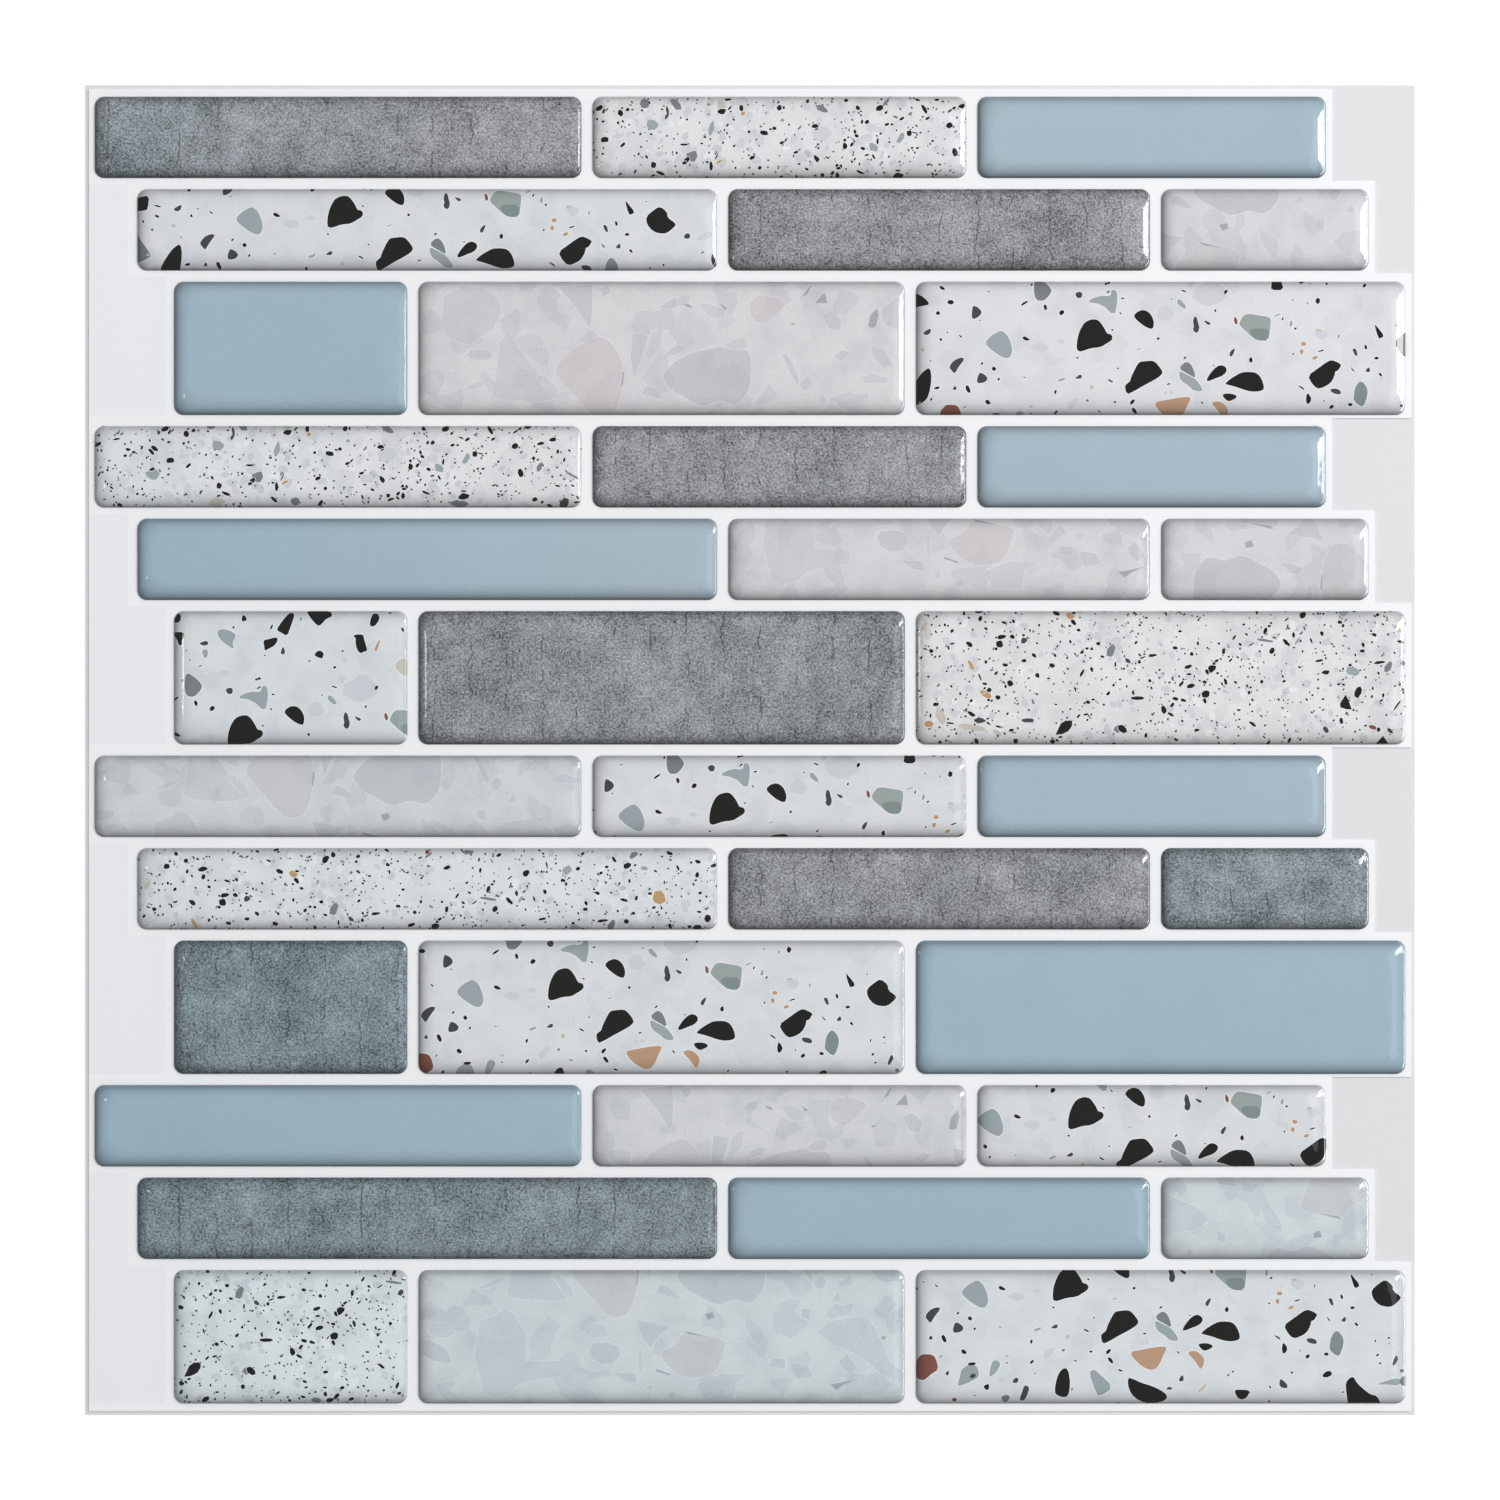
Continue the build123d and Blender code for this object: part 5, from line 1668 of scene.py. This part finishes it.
@dataclass(frozen=True)
class Lamp:
    """A rectangular lamp. One that shades faces the origin, and the others stand upright and face along x.

    Attributes:
        name: Its name.
        place: Its middle, in metres.
        size: Its width and height, in metres.
        radiance: How bright its face is, where white paper in plain light is 1.
        work: What it does.
        colour: Its colour.
    """

    name: str
    place: tuple[float, float, float]
    size: tuple[float, float]
    radiance: float
    work: Work
    colour: tuple[float, float, float] = (1.0, 1.0, 1.0)

    def hang(self) -> None:
        """Adds the lamp to the scene. The camera doesn't see it."""
        light = bpy.data.lights.new(self.name, "AREA")
        light.shape = "RECTANGLE"
        light.size, light.size_y = self.size
        light.energy = self.radiance * math.pi * self.size[0] * self.size[1]
        light.color = self.colour
        lamp = bpy.data.objects.new(self.name, light)
        lamp.location = self.place
        towards = -Vector(self.place)
        if self.work is Work.REFLECTION:
            towards.y = towards.z = 0.0
        lamp.rotation_euler = towards.to_track_quat("-Z", "Y").to_euler()
        lamp.visible_camera = False
        lamp.visible_diffuse = self.work is Work.SHADING
        lamp.visible_glossy = self.work is Work.REFLECTION
        bpy.context.scene.collection.objects.link(lamp)


@dataclass(frozen=True)
class Studio:
    """The camera above the sheet, the floor under it, and the light on both.

    Attributes:
        frame_width: The width of what the camera sees at the top of the sheet, in metres.
        lens: The camera's focal length, in millimetres.
        sensor: The width of its sensor, in millimetres.
        reach: How far the camera sees, in metres.
        top: The height of the sheet's top, in metres.
        floor_size: The width of the floor, in metres.
        floor_grey: How much of the light the floor gives back.
        floor_glow: The light that the floor adds where it is seen, to be white there.
        ambient: The strength of the even light from all round.
        lamps: The lamps.
    """

    frame_width: float = 0.34324
    lens: float = 100.0
    sensor: float = 36.0
    reach: float = 100.0
    top: float = 0.002
    floor_size: float = 12.0
    floor_grey: float = 0.78
    floor_glow: float = 0.34
    ambient: float = 0.6
    lamps: tuple[Lamp, ...] = (
        Lamp("key", (0.95, 0.62, 1.15), (0.9, 0.9), 5.9, Work.SHADING),
        Lamp("low_strip", (0.70, 0.0, 0.11), (0.9, 0.2), 30.0, Work.REFLECTION),
        Lamp("window", (0.70, 0.22, 0.66), (0.19, 0.48), 40.0, Work.REFLECTION),
        Lamp("low_window", (0.70, 0.075, 0.49), (0.1, 0.14), 26.0, Work.REFLECTION),
        Lamp("left_pane", (-0.5, 0.035, 0.67), (0.04, 0.13), 20.0, Work.REFLECTION),
        Lamp("sky", (0.70, 0.0, 1.4), (0.9, 1.0), 3.0, Work.REFLECTION, (0.8, 0.9, 1.0)),
    )

    def build(self) -> None:
        """Sets up the camera, the floor, the world and the lamps."""
        self._add_camera()
        self._add_floor()
        self._light_world()
        for lamp in self.lamps:
            lamp.hang()

    def _add_camera(self) -> None:
        """Puts the camera straight above the middle of the sheet."""
        camera = bpy.data.cameras.new("camera")
        camera.lens = self.lens
        camera.sensor_width = self.sensor
        camera.clip_end = self.reach
        viewer = bpy.data.objects.new("camera", camera)
        viewer.location = (0.0, 0.0, self.top + self.frame_width * self.lens / self.sensor)
        bpy.context.scene.collection.objects.link(viewer)
        bpy.context.scene.camera = viewer

    def _add_floor(self) -> None:
        """Lays the floor: white to the camera and in reflections, and still shaded under the sheet."""
        shape = bmesh.new()
        bmesh.ops.create_grid(shape, x_segments=1, y_segments=1, size=self.floor_size / 2)
        mesh = bpy.data.meshes.new("floor")
        shape.to_mesh(mesh)
        shape.free()
        floor = bpy.data.objects.new("floor", mesh)
        bpy.context.scene.collection.objects.link(floor)
        material = bpy.data.materials.new("floor")
        graph = Graph(material)
        grey = (self.floor_grey, self.floor_grey, self.floor_grey, 1.0)
        matte = graph.add("ShaderNodeBsdfDiffuse", None, {"Color": grey})
        glow = graph.add("ShaderNodeEmission", None, {"Strength": self._seen(graph) * self.floor_glow})
        both = graph.add("ShaderNodeAddShader", None, {0: matte.outputs[0], 1: glow.outputs[0]})
        graph.add("ShaderNodeOutputMaterial", None, {"Surface": both.outputs[0]})
        mesh.materials.append(material)

    def _light_world(self) -> None:
        """Makes the world white to the camera and in reflections, and an even soft light elsewhere."""
        world = bpy.data.worlds.new("studio")
        bpy.context.scene.world = world
        graph = Graph(world)
        strength = self.ambient + self._seen(graph) * (1 - self.ambient)
        light = graph.add("ShaderNodeBackground", None, {"Color": WHITE, "Strength": strength})
        graph.add("ShaderNodeOutputWorld", None, {"Surface": light.outputs[0]})

    def _seen(self, graph: Graph) -> Value:
        """1 for the rays of the camera, of reflections and through clear things, and 0 for the rest."""
        kinds = ("Is Camera Ray", "Is Glossy Ray", "Is Transmission Ray")
        camera, glossy, clear = (graph.value("ShaderNodeLightPath", None, None, kind) for kind in kinds)
        return camera.most(glossy).most(clear)


class BacksplashSheet:
    """The whole sheet: the gel tiles that replace their solids, and the film and liner that stay."""

    def __init__(self) -> None:
        """Makes the finishes that the pieces share."""
        self.gels = {gel.finish: gel.material() for gel in GEL_FINISHES}
        self.kept = {"vinyl_film": FilmFinish().material(), "release_liner": LinerFinish().material()}

    def build(self) -> None:
        """Builds and dresses every piece."""
        for node, material in self.kept.items():
            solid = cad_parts[node]
            solid.data.materials.clear()
            solid.data.materials.append(material)
            log.info("%s dressed in %s", node, material.name)
        for row, cuts in enumerate(SHEET, start=1):
            for position, cut in zip(("left", "middle", "right"), cuts):
                tile = GelTile(f"gel_row{row:02d}_{position}", cut, self.gels[cut.finish]).build()
                log.info("%s: %s, %d faces", tile.name, cut.finish.value, len(tile.data.polygons))


def main() -> None:
    """Builds the sheet and its studio."""
    logging.basicConfig(level=logging.INFO, format="%(name)s: %(message)s")
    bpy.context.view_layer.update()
    BacksplashSheet().build()
    Studio().build()
    bpy.context.scene.view_settings.view_transform = "Standard"


if __name__ == "__main__":
    main()
